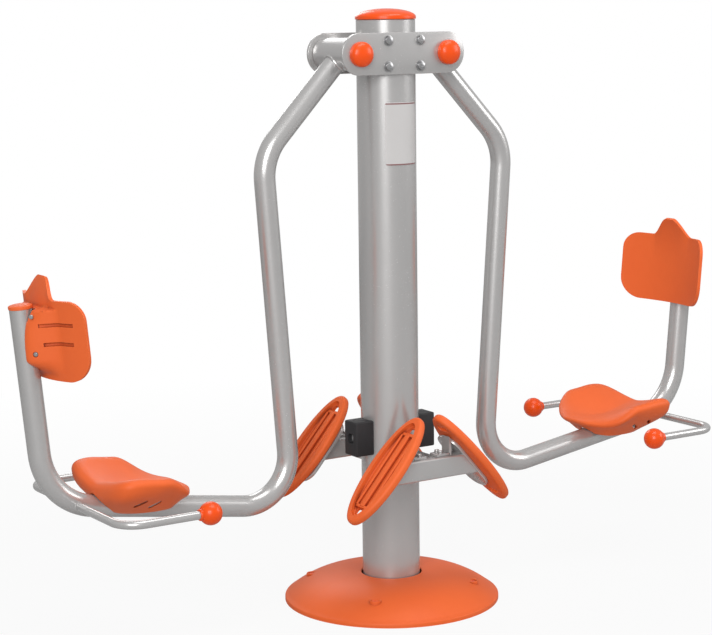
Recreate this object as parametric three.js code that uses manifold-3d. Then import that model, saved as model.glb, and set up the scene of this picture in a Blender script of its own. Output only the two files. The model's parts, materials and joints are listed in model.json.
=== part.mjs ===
// Outdoor leg press: two swinging seats on one post, four fixed pedals at its foot
// Lengths are millimetres and +Z is up. The origin is on the post's axis at the ground, X runs along
// the length through both seats, and -Y is the front. Each arm is modelled once, on the +X side.

import * as THREE from 'three';
import { mergeVertices } from 'three/addons/utils/BufferGeometryUtils.js';
import Module from 'manifold-3d';

const wasm = await Module();
wasm.setup();

const degree = Math.PI / 180;
const quarterTurn = 90 * degree;

// Clearances: gap lies between pieces that touch, overrun is how far a cutter passes what it cuts
const gap = 0.3;
const overrun = 12;

// Number of facets
const facets = { large: 36, tube: 14, medium: 18, small: 12, thin: 8, hex: 6 };

// Post and the steel foot under the cover
const post = { diameter: 140, wall: 4, top: 1404 };
const flange = { inset: 50, thickness: 12 };
const gusset = { reach: 66, height: 34, thickness: 8, toe: 6 };
const stud = { diameter: 16, circle: 150, above: 30, nutAcross: 27, nutHeight: 13, washer: 17,
  washerHeight: 3 };
const cover = { radius: 262, neck: 4, rim: 8, rise: 65, bulge: 2.8, wall: 4, bossCircle: 200,
  bossRadius: 9, bossProud: 3 };

// Cap on the post
const cap = { rim: 5, rise: 20, overhang: 2, plug: 22, wall: 3.5 };

// Head: two plates, with a through bolt at each corner of the post
const head = { height: 97, drop: 78.6, thickness: 8, pivot: 122.8 };
const headBolt = { diameter: 12, aside: 45, above: 30, headAcross: 20, headHeight: 7.5, nutHeight: 10 };

// Pivots: axle, bearings and the hub that turns on them
const axle = { diameter: 25, nutAcross: 40, nutHeight: 12 };
const bearing = { outer: 52, width: 15, recess: 1.5, ringShare: 0.3 };
const hub = { diameter: 76, endPlay: 2, boreShoulder: 5 };
const axleCap = { radius: 29, skirt: 9, dome: 17, wall: 3 };

// Arm: a round tube bent in the plane Y = 0, its corners before bending, and the radius of each bend
const tube = { diameter: 50, wall: 3 };
const knee = { out: 341.4, drop: 228.1, radius: 130, steps: 4 };
const heel = { out: 280.6, height: 268.2, radius: 108, steps: 8 };
const back = { out: 908.1, height: 363.7, radius: 150, steps: 6 };
const tip = { out: 948.8, height: 804 };
const tubeCap = { overhang: 1.5, rim: 6, dome: 4, plug: 18, wall: 3 };

// Seat: a moulded saddle on a steel bracket
const seatBracket = { front: 612, length: 88, width: 84, plate: 5, cheek: 5, cheekFront: 640,
  cheekDrop: 34, rise: 3 };
const seat = { front: 580, length: 212, halfWidth: 145, wall: 6, skirt: 31, tubeRoom: 3 };

// Rise of the saddle's top towards its wings and its rear: places along are shares of its half length
const wing = { rise: 48, power: 1.3, start: -0.9, full: -0.1, fallStart: 0.35, fall: 0.1 };
const seatRear = { rise: 24, start: -0.3, sideFall: 0.45 };

// Half of the saddle's outline from the nose to the rear, [along, across] as shares of its half length
// and half width, and the same places on the foot of its skirt
const outlineShares = [
  [-1.00, 0.00], [-0.99, 0.28], [-0.91, 0.44], [-0.73, 0.68], [-0.50, 0.89], [-0.18, 0.99],
  [0.22, 1.00], [0.62, 0.99], [0.86, 0.92], [0.97, 0.72], [1.00, 0.38], [1.00, 0.00],
];
const footShares = [
  [-0.58, 0.00], [-0.58, 0.17], [-0.56, 0.31], [-0.50, 0.42], [-0.36, 0.48], [-0.12, 0.50],
  [0.14, 0.48], [0.36, 0.42], [0.52, 0.34], [0.62, 0.24], [0.67, 0.12], [0.68, 0.00],
];

// Rings from the middle of the saddle over its rim to the skirt's foot: size as a share of the outline's,
// how far the nose and the rear have drawn in to the foot, and how far down from the top to the foot
const ringShares = [
  { size: 0.00, nose: 0, rear: 0, down: 0 },
  { size: 0.45, nose: 0, rear: 0, down: 0 },
  { size: 0.84, nose: 0, rear: 0, down: 0 },
  { size: 0.96, nose: 0, rear: 0, down: 0.07 },
  { size: 1.00, nose: 0, rear: 0, down: 0.22 },
  { size: 1.00, nose: 0.4, rear: 0.15, down: 0.52 },
  { size: 1.00, nose: 1, rear: 1, down: 1 },
];

// Backrest: a curved shell on a steel bracket, with a raised strip behind
const backBracket = { width: 56, length: 124, thickness: 5, level: 740 };
const rest = { halfWidth: 154, above: 81, below: 95, topCorner: 42, lowCorner: 56, wall: 8, wrap: 43,
  clear: 2 };
const restBoss = { halfWidth: 33, foot: 88, above: 62, below: 88, turnUp: 44, behind: 20 };
const headrest = { foot: 72, peak: 12, rise: 47, lean: 23 };
const restGroove = { inner: 50, outer: 120, height: 8, depth: 5, upper: 22, lower: -20 };

// Handle rail round the seat, with a ball on each end
const rail = { diameter: 19, back: 840, aside: 245, corner: 55, steps: 4, drop: 7 };
const ball = { radius: 26, out: 632 };

// Pedal frame: a square tube along X in front of and behind the post, each on a stub from the post
const bar = { size: 50, wall: 4, aside: 162, top: 379 };
const pedal = { out: 122.7, aside: 165, height: 363, tilt: 48.7 * degree, halfLength: 149, halfWidth: 62,
  thickness: 20, rim: 19, round: 4, web: 8, rib: 13, ribReach: 100 };
const pedalSlot = { reach: 107, width: 14, length: 34 };
const bracket = { length: 198, width: 88, thickness: 8, strap: 6, strapWidth: 30, strapOut: 53, tab: 38 };
const tabBolt = { out: 30, across: 17, height: 7 };

// Rubber bumpers that stop the arms
const bumper = { reach: 114, width: 54, height: 84, level: 410, recess: 14, recessRadius: 11, round: 4 };
const bumperBolt = { diameter: 10, headRadius: 9, headHeight: 7, inside: 12 };

// Plain plate on the front of the post
const label = { drop: 339, height: 147, thickness: 0.8, span: 73 * degree, facets: 10 };

const postRadius = post.diameter / 2;
const headCentre = post.top - head.drop;
const tubeRadius = tube.diameter / 2;
const plateInner = postRadius + gap;
const plateOuter = plateInner + head.thickness;

// Geometry helpers

function solid(geometry) {
  const bare = geometry.clone();
  bare.deleteAttribute('normal');
  bare.deleteAttribute('uv');
  const merged = mergeVertices(bare);
  const vertProperties = Float32Array.from(merged.attributes.position.array);
  const triVerts = Uint32Array.from(merged.index.array);
  return new wasm.Manifold(new wasm.Mesh({ numProp: 3, vertProperties, triVerts }));
}

function shapeOf(manifold) {
  const mesh = manifold.getMesh();
  const geometry = new THREE.BufferGeometry();
  geometry.setAttribute('position', new THREE.BufferAttribute(mesh.vertProperties, 3));
  geometry.setIndex(new THREE.BufferAttribute(mesh.triVerts, 1));
  geometry.computeVertexNormals();
  return geometry;
}

function join(first, ...others) {
  return others.reduce((sum, other) => sum.add(solid(other)), solid(first));
}

function cut(body, ...cutters) {
  return cutters.reduce((left, cutter) => left.subtract(solid(cutter)), body);
}

// A cylinder along X, Y or Z between two places on that axis
function roundBar(axis, radius, from, to, sides) {
  const geometry = new THREE.CylinderGeometry(radius, radius, to - from, sides);
  const middle = (from + to) / 2;
  if (axis === 'x') {
    geometry.rotateZ(-quarterTurn);
    geometry.translate(middle, 0, 0);
  } else if (axis === 'y') {
    geometry.translate(0, middle, 0);
  } else {
    geometry.rotateX(quarterTurn);
    geometry.translate(0, 0, middle);
  }
  return geometry;
}

// Radius of a faceted hole that clears a round bar all the way round
function clear(radius, sides) {
  return (radius + gap) / Math.cos(2 * quarterTurn / sides);
}

// Radius of a round plug that clears the flats of a faceted bore
function plugIn(radius, sides) {
  return radius * Math.cos(2 * quarterTurn / sides) - gap;
}

// A block between two corners
function block(low, high) {
  const size = high.map((value, index) => value - low[index]);
  const centre = high.map((value, index) => (value + low[index]) / 2);
  const geometry = new THREE.BoxGeometry(...size);
  geometry.translate(...centre);
  return geometry;
}

// A turned piece about +Z from its closed profile of [radius, height] points
function turned(profile, sides) {
  const points = profile.map(([radius, height]) => new THREE.Vector2(radius, height));
  const geometry = new THREE.LatheGeometry(points, sides);
  geometry.rotateX(quarterTurn);
  return geometry;
}

// Points of a quarter of an ellipse, from its foot at [radius, base] to its top on the axis
function domePoints(radius, base, rise, steps) {
  const points = [];
  for (let step = 0; step <= steps; step += 1) {
    const angle = quarterTurn * step / steps;
    points.push([step === steps ? 0 : radius * Math.cos(angle), base + rise * Math.sin(angle)]);
  }
  return points;
}

// The same piece on the other side of the planes X = 0 and Y = 0
function mirrored(geometry, sideX, sideY) {
  const copy = geometry.clone();
  copy.scale(sideX, sideY, 1);
  if (sideX * sideY < 0) {
    const index = copy.index.array;
    for (let corner = 0; corner < index.length; corner += 3) {
      [index[corner], index[corner + 1]] = [index[corner + 1], index[corner]];
    }
  }
  copy.computeVertexNormals();
  return copy;
}

// A slab with a grid of cells, each corner placed by place(across, along, layer) with counts from 0
function gridSlab(cellsAcross, cellsAlong, place) {
  const geometry = new THREE.BoxGeometry(cellsAcross, cellsAlong, 1, cellsAcross, cellsAlong, 1);
  const position = geometry.attributes.position;
  for (let index = 0; index < position.count; index += 1) {
    const across = Math.round(position.getX(index) + cellsAcross / 2);
    const along = Math.round(position.getY(index) + cellsAlong / 2);
    const layer = position.getZ(index) > 0 ? 1 : 0;
    position.setXYZ(index, ...place(across, along, layer));
  }
  return geometry;
}

// A route made of straight runs and round bends, with one station at each end and at each bend step
class BentRoute extends THREE.Curve {
  constructor(corners) {
    super();
    this.stations = [];
    const last = corners.length - 1;
    corners.forEach((corner, index) => {
      if (index === 0 || index === last) {
        const from = corners[Math.max(index - 1, 0)].point;
        const to = corners[Math.min(index + 1, last)].point;
        this.stations.push({ point: corner.point, tangent: to.clone().sub(from).normalize() });
        return;
      }
      const before = corner.point.clone().sub(corners[index - 1].point).normalize();
      const after = corners[index + 1].point.clone().sub(corner.point).normalize();
      const turn = before.angleTo(after);
      const start = corner.point.clone().addScaledVector(before, -corner.radius * Math.tan(turn / 2));
      const normal = after.clone().addScaledVector(before, -before.dot(after)).normalize();
      for (let step = 0; step <= corner.steps; step += 1) {
        const angle = turn * step / corner.steps;
        const point = start.clone()
          .addScaledVector(before, corner.radius * Math.sin(angle))
          .addScaledVector(normal, corner.radius * (1 - Math.cos(angle)));
        const tangent = before.clone().multiplyScalar(Math.cos(angle))
          .addScaledVector(normal, Math.sin(angle));
        this.stations.push({ point, tangent });
      }
    });
  }

  station(share) {
    return this.stations[Math.round(share * (this.stations.length - 1))];
  }

  getPointAt(share, target = new THREE.Vector3()) {
    return target.copy(this.station(share).point);
  }

  getTangentAt(share, target = new THREE.Vector3()) {
    return target.copy(this.station(share).tangent);
  }

  getSpacedPoints() {
    return this.stations.map(({ point }) => point.clone());
  }

  // The height of the route where it passes a place along X, looked for from the lower end
  heightAt(out, first) {
    for (let index = first; index < this.stations.length - 1; index += 1) {
      const here = this.stations[index].point;
      const next = this.stations[index + 1].point;
      if (here.x <= out && out <= next.x) {
        return here.z + (next.z - here.z) * (out - here.x) / (next.x - here.x);
      }
    }
    return this.stations[this.stations.length - 1].point.z;
  }
}

function along(route, radius, wall, sides) {
  const section = new THREE.Shape();
  section.absarc(0, 0, radius, 0, 4 * quarterTurn, false);
  if (wall > 0) {
    const bore = new THREE.Path();
    bore.absarc(0, 0, radius - wall, 0, 4 * quarterTurn, true);
    section.holes.push(bore);
  }
  return new THREE.ExtrudeGeometry(section, {
    extrudePath: route,
    steps: route.stations.length - 1,
    curveSegments: sides / 2,
    bevelEnabled: false,
  });
}

// Finishes

const finishes = {
  silver: new THREE.MeshStandardMaterial({ color: '#b4b3b1', roughness: 0.45, metalness: 0.55 }),
  orange: new THREE.MeshStandardMaterial({ color: '#ea6a38', roughness: 0.5, metalness: 0 }),
  cap: new THREE.MeshStandardMaterial({ color: '#ff5a14', roughness: 0.4, metalness: 0 }),
  rubber: new THREE.MeshStandardMaterial({ color: '#2e2c2e', roughness: 0.85, metalness: 0 }),
  steel: new THREE.MeshStandardMaterial({ color: '#9a9b9d', roughness: 0.35, metalness: 1 }),
  label: new THREE.MeshStandardMaterial({ color: '#dedbd6', roughness: 0.4, metalness: 0 }),
};

function piece(name, geometry, finish) {
  const mesh = new THREE.Mesh(geometry, finishes[finish].clone());
  mesh.name = name;
  return mesh;
}

// Foot

const postBottom = flange.thickness + gap;

function baseFlange() {
  const ribs = [0, 1, 2, 3].map((quarter) => {
    const outline = new THREE.Shape([
      new THREE.Vector2(postRadius + gap, 0),
      new THREE.Vector2(postRadius + gap + gusset.reach, 0),
      new THREE.Vector2(postRadius + gap + gusset.reach, flange.thickness + gusset.toe),
      new THREE.Vector2(postRadius + gap, flange.thickness + gusset.height),
    ]);
    const rib = new THREE.ExtrudeGeometry(outline, { depth: gusset.thickness, bevelEnabled: false });
    rib.translate(0, 0, -gusset.thickness / 2);
    rib.rotateX(quarterTurn);
    rib.rotateZ(quarter * quarterTurn);
    return rib;
  });
  const disc = roundBar('z', cover.radius - flange.inset, 0, flange.thickness, facets.large);
  const holes = studPlaces().map(([x, y]) => {
    const radius = clear(stud.diameter / 2, facets.thin);
    const hole = roundBar('z', radius, -overrun, flange.thickness + overrun, facets.thin);
    hole.translate(x, y, 0);
    return hole;
  });
  return shapeOf(cut(join(disc, ...ribs), ...holes));
}

function studPlaces() {
  const aside = stud.circle * Math.SQRT1_2;
  return [[-aside, -aside], [aside, -aside], [aside, aside], [-aside, aside]];
}

function anchorStud([x, y]) {
  const seatLevel = flange.thickness + gap;
  const nutLevel = seatLevel + stud.washerHeight;
  const geometry = shapeOf(join(
    roundBar('z', stud.diameter / 2, 0, flange.thickness + stud.above, facets.thin),
    roundBar('z', stud.washer, seatLevel, nutLevel, facets.small),
    roundBar('z', stud.nutAcross / 2, nutLevel, nutLevel + stud.nutHeight, facets.hex),
  ));
  geometry.translate(x, y, 0);
  return geometry;
}

// Height of the cover's outside at a radius
function coverHeight(radius) {
  const hole = postRadius + cover.neck;
  const share = (radius - hole) / (cover.radius - hole);
  return cover.rim + (cover.rise - cover.rim) * (1 - share ** cover.bulge);
}

function baseCover(side) {
  const hole = postRadius + cover.neck;
  const steps = 5;
  const outside = [[cover.radius, 0]];
  const inside = [];
  for (let step = 0; step <= steps; step += 1) {
    const share = step / steps;
    const radius = cover.radius + (hole - cover.radius) * share;
    outside.push([radius, coverHeight(radius)]);
    const innerRadius = Math.min(radius, cover.radius - cover.wall);
    inside.unshift([innerRadius, coverHeight(radius) - cover.wall]);
  }
  inside.push([cover.radius - cover.wall, 0]);
  const shell = turned([...outside, ...inside, outside[0]], facets.large);
  const bossAside = cover.bossCircle * Math.SQRT1_2;
  const bossTop = coverHeight(cover.bossCircle) + cover.bossProud;
  const bosses = [-bossAside, bossAside].map((x) => {
    const boss = roundBar('z', cover.bossRadius, flange.thickness + gap, bossTop, facets.small);
    boss.translate(x, side * bossAside, 0);
    return boss;
  });
  const reach = cover.radius + overrun;
  const lid = cover.rise + overrun;
  const otherHalf = side < 0
    ? block([-reach, -gap / 2, -overrun], [reach, reach, lid])
    : block([-reach, -reach, -overrun], [reach, gap / 2, lid]);
  return shapeOf(cut(join(shell, ...bosses), otherHalf));
}

// Post

function boltPlaces() {
  const places = [];
  for (const up of [1, -1]) {
    for (const side of [-1, 1]) {
      places.push([side * headBolt.aside, headCentre + up * headBolt.above]);
    }
  }
  return places;
}

function postTube() {
  const outer = solid(roundBar('z', postRadius, postBottom, post.top, facets.large));
  const inner = postRadius - post.wall;
  const bore = roundBar('z', inner, postBottom - overrun, post.top + overrun, facets.large);
  const reach = postRadius + overrun;
  const boltHoles = boltPlaces().map(([x, z]) => {
    const radius = clear(headBolt.diameter / 2, facets.thin);
    const hole = roundBar('y', radius, -reach, reach, facets.thin);
    hole.translate(x, 0, z);
    return hole;
  });
  const bumperHole = roundBar('x', clear(bumperBolt.diameter / 2, facets.thin), -reach, reach, facets.thin);
  bumperHole.translate(0, 0, bumper.level);
  return shapeOf(cut(outer, bore, bumperHole, ...boltHoles));
}

function postCap() {
  const base = post.top + gap;
  const plugRadius = postRadius - post.wall - gap;
  const rimTop = base + cap.rim;
  const under = domePoints(plugRadius - cap.wall, base, cap.rise, 2).reverse();
  return turned([
    ...under,
    [plugRadius - cap.wall, base - cap.plug],
    [plugRadius, base - cap.plug],
    [plugRadius, base],
    [postRadius + cap.overhang, base],
    ...domePoints(postRadius + cap.overhang, rimTop, cap.rise, 3),
  ], facets.medium);
}

function labelPlate() {
  const inner = postRadius + gap;
  const outer = inner + label.thickness;
  const start = -quarterTurn - label.span / 2;
  const outline = new THREE.Shape();
  outline.absarc(0, 0, outer, start, start + label.span, false);
  outline.absarc(0, 0, inner, start + label.span, start, true);
  const plate = new THREE.ExtrudeGeometry(outline, {
    depth: label.height,
    curveSegments: label.facets,
    bevelEnabled: false,
  });
  plate.translate(0, 0, post.top - label.drop);
  return plate;
}

// Head

function headPlate(side) {
  const radius = head.height / 2;
  const outline = new THREE.Shape();
  outline.absarc(head.pivot, 0, radius, -quarterTurn, quarterTurn, false);
  outline.absarc(-head.pivot, 0, radius, quarterTurn, 3 * quarterTurn, false);
  for (const at of [-head.pivot, head.pivot]) {
    const hole = new THREE.Path();
    hole.absarc(at, 0, clear(axle.diameter / 2, facets.small), 0, 4 * quarterTurn, true);
    outline.holes.push(hole);
  }
  for (const [x, z] of boltPlaces()) {
    const hole = new THREE.Path();
    hole.absarc(x, z - headCentre, clear(headBolt.diameter / 2, facets.small), 0, 4 * quarterTurn, true);
    outline.holes.push(hole);
  }
  const plate = new THREE.ExtrudeGeometry(outline, {
    depth: head.thickness,
    curveSegments: facets.small / 2,
    bevelEnabled: false,
  });
  plate.rotateX(quarterTurn);
  plate.translate(0, side < 0 ? -plateInner : plateOuter, headCentre);
  return plate;
}

function throughBolt([x, z]) {
  const face = plateOuter + gap;
  const headEnd = -face - headBolt.headHeight;
  const nutEnd = face + headBolt.nutHeight;
  const geometry = shapeOf(join(
    roundBar('y', headBolt.diameter / 2, headEnd, nutEnd, facets.thin),
    roundBar('y', headBolt.headAcross / 2, headEnd, -face, facets.hex),
    roundBar('y', headBolt.headAcross / 2, face, nutEnd, facets.hex),
  ));
  geometry.translate(x, 0, z);
  return geometry;
}

function pivotAxle() {
  const face = plateOuter + gap;
  const geometry = shapeOf(join(
    roundBar('y', axle.diameter / 2, -face - axle.nutHeight, face + axle.nutHeight, facets.medium),
    roundBar('y', axle.nutAcross / 2, -face - axle.nutHeight, -face, facets.hex),
    roundBar('y', axle.nutAcross / 2, face, face + axle.nutHeight, facets.hex),
  ));
  geometry.translate(0, 0, headCentre);
  return geometry;
}

function nutCap(side) {
  const steps = 3;
  const inner = axleCap.radius - axleCap.wall;
  const lid = turned([
    [axleCap.radius, 0],
    ...domePoints(axleCap.radius, axleCap.skirt, axleCap.dome, steps),
    ...domePoints(inner, axleCap.skirt, axleCap.dome - axleCap.wall, steps).reverse(),
    [inner, 0],
    [axleCap.radius, 0],
  ], facets.small);
  lid.rotateX(-side * quarterTurn);
  lid.translate(0, side * (plateOuter + gap), headCentre);
  return lid;
}

// Swinging arm

const hubHalf = plateInner - hub.endPlay;
const boreRadius = bearing.outer / 2 + gap;

function armHub() {
  const shoulder = hubHalf - bearing.width - gap;
  const profile = [
    [boreRadius, hubHalf],
    [boreRadius, shoulder],
    [boreRadius - hub.boreShoulder, shoulder],
    [boreRadius - hub.boreShoulder, -shoulder],
    [boreRadius, -shoulder],
    [boreRadius, -hubHalf],
    [hub.diameter / 2, -hubHalf],
    [hub.diameter / 2, hubHalf],
  ];
  const sleeve = turned([...profile, profile[0]], facets.medium);
  sleeve.rotateX(quarterTurn);
  sleeve.translate(head.pivot, 0, headCentre);
  return sleeve;
}

function armBearing(side) {
  const inner = axle.diameter / 2 + gap;
  const outer = bearing.outer / 2;
  const ring = (outer - inner) * bearing.ringShare;
  const half = bearing.width / 2;
  const race = half - bearing.recess;
  const profile = [
    [inner, half],
    [inner, -half],
    [outer, -half],
    [outer, half],
    [outer - ring, race],
    [inner + ring, race],
  ];
  const ringSet = turned([...profile, profile[0]], facets.medium);
  ringSet.rotateX(quarterTurn);
  ringSet.translate(head.pivot, side * (hubHalf - half), headCentre);
  return ringSet;
}

function corner(place) {
  return { ...place, point: new THREE.Vector3(place.out, 0, place.height) };
}

const armRoute = new BentRoute([
  corner({ out: head.pivot, height: headCentre }),
  corner({ ...knee, height: headCentre - knee.drop }), corner(heel), corner(back), corner(tip),
]);
const heelStation = knee.steps + 2;
const runSlope = Math.atan2(back.height - heel.height, back.out - heel.out);
const backTilt = Math.atan2(tip.out - back.out, tip.height - back.height);
const railLevel = armRoute.heightAt(rail.back, heelStation + heel.steps / 2) - rail.drop;

function armTube() {
  const pipe = solid(along(armRoute, tubeRadius, tube.wall, facets.tube));
  const hubRadius = clear(hub.diameter / 2, facets.medium);
  const hubRoom = roundBar('y', hubRadius, -hubHalf, hubHalf, facets.medium);
  hubRoom.translate(head.pivot, 0, headCentre);
  const reach = tubeRadius + overrun;
  const railHole = roundBar('y', clear(rail.diameter / 2, facets.small), -reach, reach, facets.small);
  railHole.translate(rail.back, 0, railLevel);
  return shapeOf(cut(pipe, hubRoom, railHole));
}

function armTubeCap() {
  const plugRadius = plugIn(tubeRadius - tube.wall, facets.tube);
  const brim = tubeRadius + tubeCap.overhang;
  const geometry = turned([
    [0, 0],
    [plugRadius - tubeCap.wall, 0],
    [plugRadius - tubeCap.wall, -tubeCap.plug],
    [plugRadius, -tubeCap.plug],
    [plugRadius, gap],
    [brim, gap],
    ...domePoints(brim, tubeCap.rim, tubeCap.dome, 3),
  ], facets.small);
  geometry.rotateY(backTilt);
  geometry.translate(tip.out, 0, tip.height);
  return geometry;
}

// Seat

function runHeight(out) {
  return heel.height + (out - heel.out) * Math.tan(runSlope);
}

const plateLevel = runHeight(seatBracket.front + seatBracket.length) + tubeRadius / Math.cos(runSlope)
  + seatBracket.rise;
const seatUnder = plateLevel + seatBracket.plate + gap;

function saddleBracket() {
  const rear = seatBracket.front + seatBracket.length;
  const cheekInner = tubeRadius + gap;
  const cheekOuter = cheekInner + seatBracket.cheek;
  const cheekLow = plateLevel - seatBracket.cheekDrop;
  const cheekTop = plateLevel + seatBracket.plate / 2;
  return shapeOf(join(
    block([seatBracket.front, -seatBracket.width / 2, plateLevel],
      [rear, seatBracket.width / 2, plateLevel + seatBracket.plate]),
    block([seatBracket.cheekFront, cheekInner, cheekLow], [rear, cheekOuter, cheekTop]),
    block([seatBracket.cheekFront, -cheekOuter, cheekLow], [rear, -cheekInner, cheekTop]),
  ));
}

// Height of the saddle above its middle at a place given as shares of its half length and half width
function saddleRise(alongShare, acrossShare) {
  const outward = Math.abs(acrossShare);
  const front = THREE.MathUtils.smoothstep(alongShare, wing.start, wing.full);
  const fall = 1 - wing.fall * THREE.MathUtils.smoothstep(alongShare, wing.fallStart, 1);
  const rear = THREE.MathUtils.smoothstep(alongShare, seatRear.start, 1);
  return wing.rise * front * fall * outward ** wing.power
    + seatRear.rise * rear * (1 - seatRear.sideFall * outward);
}

function bothHalves(half) {
  return [...half, ...half.slice(1, -1).map(([x, y]) => [x, -y]).reverse()];
}

function saddle() {
  const outline = bothHalves(outlineShares);
  const foot = bothHalves(footShares);
  const halfLength = seat.length / 2;
  const middle = seat.front + halfLength;
  const last = ringShares.length - 1;
  const footLevel = seatUnder - seat.skirt;
  const shell = new THREE.SphereGeometry(1, outline.length, 2 * last + 1);
  const { position, uv } = shell.attributes;
  for (let index = 0; index < position.count; index += 1) {
    const row = Math.round((1 - uv.getY(index)) * (2 * last + 1));
    const inside = row > last;
    const ring = ringShares[inside ? 2 * last + 1 - row : row];
    const spoke = 2 * outline.length - Math.round(uv.getX(index) * outline.length);
    const [x, y] = outline[spoke % outline.length];
    const [footX, footY] = foot[spoke % outline.length];
    const drawn = THREE.MathUtils.lerp(ring.nose, ring.rear, THREE.MathUtils.smoothstep(x, -1, 1));
    const inset = inside && ring.size > 0 ? seat.wall / Math.hypot(x * halfLength, y * seat.halfWidth) : 0;
    const placeAlong = THREE.MathUtils.lerp(x * ring.size, footX, drawn) - x * inset;
    const placeAcross = THREE.MathUtils.lerp(y * ring.size, footY, drawn) - y * inset;
    const top = seatUnder + seat.wall + saddleRise(x * ring.size, y * ring.size);
    const level = top + (footLevel - top) * ring.down - (inside ? seat.wall * (1 - ring.down) : 0);
    position.setXYZ(index, middle + halfLength * placeAlong, seat.halfWidth * placeAcross, level);
  }
  const room = roundBar('x', tubeRadius + seat.tubeRoom, -seat.length, seat.length, facets.medium);
  room.rotateY(-runSlope);
  room.translate(middle, 0, runHeight(middle));
  return shapeOf(cut(solid(shell), room));
}

// Backrest, worked out along the arm's last run and then tilted with it

const restOut = back.out + (backBracket.level - back.height) * Math.tan(backTilt);
const bracketFace = tubeRadius + gap;
const shellBack = bracketFace + backBracket.thickness + gap + rest.clear;

function leaned(geometry) {
  geometry.rotateY(backTilt);
  geometry.translate(restOut, 0, backBracket.level);
  return geometry;
}

function restBracket() {
  const half = backBracket.length / 2;
  const width = backBracket.width / 2;
  const face = -bracketFace - backBracket.thickness;
  return leaned(block([face, -width, -half], [-bracketFace, width, half]));
}

// How far the shell's back lies in front of the tube's axis at a place across it
function wrapAt(y) {
  const share = y / rest.halfWidth;
  return shellBack + rest.wrap * share * share;
}

// Drop of a rounded corner at a place across the backrest
function cornerDrop(y, radius) {
  const past = Math.max(0, Math.abs(y) - (rest.halfWidth - radius));
  return radius - Math.sqrt(Math.max(0, radius * radius - past * past));
}

function headrestShare(y) {
  return THREE.MathUtils.smoothstep(-Math.abs(y), -headrest.foot, -headrest.peak);
}

function backrestColumns() {
  const radius = Math.max(rest.topCorner, rest.lowCorner);
  const straight = rest.halfWidth - radius;
  const half = [0, headrest.peak, (headrest.peak + headrest.foot) / 2, headrest.foot, straight];
  const bends = 3;
  for (let step = 1; step <= bends; step += 1) {
    half.push(straight + radius * Math.sin(quarterTurn * step / bends));
  }
  return [...half.slice(1).map((y) => -y).reverse(), ...half];
}

// How far the back of the boss stands behind the shell's at a place across and along it
function bossAt(y, level) {
  const aside = 1 - THREE.MathUtils.smoothstep(Math.abs(y), restBoss.halfWidth, restBoss.foot);
  const low = THREE.MathUtils.smoothstep(level, -restBoss.below, -restBoss.turnUp);
  return (wrapAt(y) + restBoss.behind) * aside * low;
}

function restBossBody() {
  const columns = [];
  const cells = 4;
  for (let step = 0; step <= cells; step += 1) {
    columns.push(restBoss.halfWidth + (restBoss.foot - restBoss.halfWidth) * step / cells);
  }
  const across = [...columns.map((y) => -y).reverse(), ...columns];
  const levels = [-restBoss.below, -(restBoss.below + restBoss.turnUp) / 2, -restBoss.turnUp, restBoss.above];
  return gridSlab(across.length - 1, levels.length - 1, (column, row, layer) => {
    const y = across[column];
    const front = -wrapAt(y) - rest.wall / 2;
    return [layer === 1 ? -wrapAt(y) + bossAt(y, levels[row]) : front, y, levels[row]];
  });
}

// A cutter that follows the shell's back and its boss, on the +Y side
function restGrooveCutter(middle) {
  const cells = 5;
  return gridSlab(cells, 1, (column, row, layer) => {
    const y = restGroove.inner + (restGroove.outer - restGroove.inner) * column / cells;
    const level = middle + restGroove.height * (row - 1 / 2);
    const back = bossAt(y, level) - wrapAt(y);
    return [layer === 1 ? back + overrun : back - restGroove.depth, y, level];
  });
}

function backrest() {
  const columns = backrestColumns();
  const rows = 5;
  const shell = gridSlab(columns.length - 1, rows, (column, row, layer) => {
    const y = columns[column];
    const share = row / rows;
    const bump = headrestShare(y);
    const top = rest.above - cornerDrop(y, rest.topCorner) + headrest.rise * bump;
    const bottom = -rest.below + cornerDrop(y, rest.lowCorner);
    const lean = headrest.lean * bump * share ** rows;
    return [-wrapAt(y) - lean - rest.wall * (1 - layer), y, bottom + (top - bottom) * share];
  });
  const low = -rest.below - overrun;
  const high = rest.above + overrun;
  const tubeRoom = roundBar('z', clear(tubeRadius, facets.medium), low, high, facets.medium);
  const behindTube = block([0, -tubeRadius - gap, low], [restBoss.behind + overrun, tubeRadius + gap, high]);
  const half = backBracket.length / 2 + gap;
  const width = backBracket.width / 2 + gap;
  const bracketRoom = block([-bracketFace - backBracket.thickness - gap, -width, -half], [0, width, half]);
  const grooves = [];
  for (const level of [restGroove.upper, restGroove.lower]) {
    for (const side of [-1, 1]) {
      grooves.push(mirrored(restGrooveCutter(level), 1, side));
    }
  }
  const body = join(shell, restBossBody());
  return leaned(shapeOf(cut(body, tubeRoom, behindTube, bracketRoom, ...grooves)));
}

// Handle rail

function handleRail() {
  const bend = { radius: rail.corner, steps: rail.steps };
  const corners = [
    { point: new THREE.Vector3(ball.out, -rail.aside, railLevel) },
    { point: new THREE.Vector3(rail.back, -rail.aside, railLevel), ...bend },
    { point: new THREE.Vector3(rail.back, rail.aside, railLevel), ...bend },
    { point: new THREE.Vector3(ball.out, rail.aside, railLevel) },
  ];
  return along(new BentRoute(corners), rail.diameter / 2, 0, facets.thin);
}

function railBall(side) {
  const sphere = new THREE.SphereGeometry(ball.radius, facets.small, facets.thin);
  sphere.rotateZ(quarterTurn);
  const socketRadius = clear(rail.diameter / 2, facets.thin);
  const socket = roundBar('x', socketRadius, -gap, ball.radius + overrun, facets.thin);
  const geometry = shapeOf(cut(solid(sphere), socket));
  geometry.translate(ball.out, side * rail.aside, railLevel);
  return geometry;
}

// Pedal frame, modelled in front of the post and on the +X side, then mirrored

const barMiddle = bar.top - bar.size / 2;
const barInner = bar.aside - bar.size / 2;
const barOuter = bar.aside + bar.size / 2;

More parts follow.
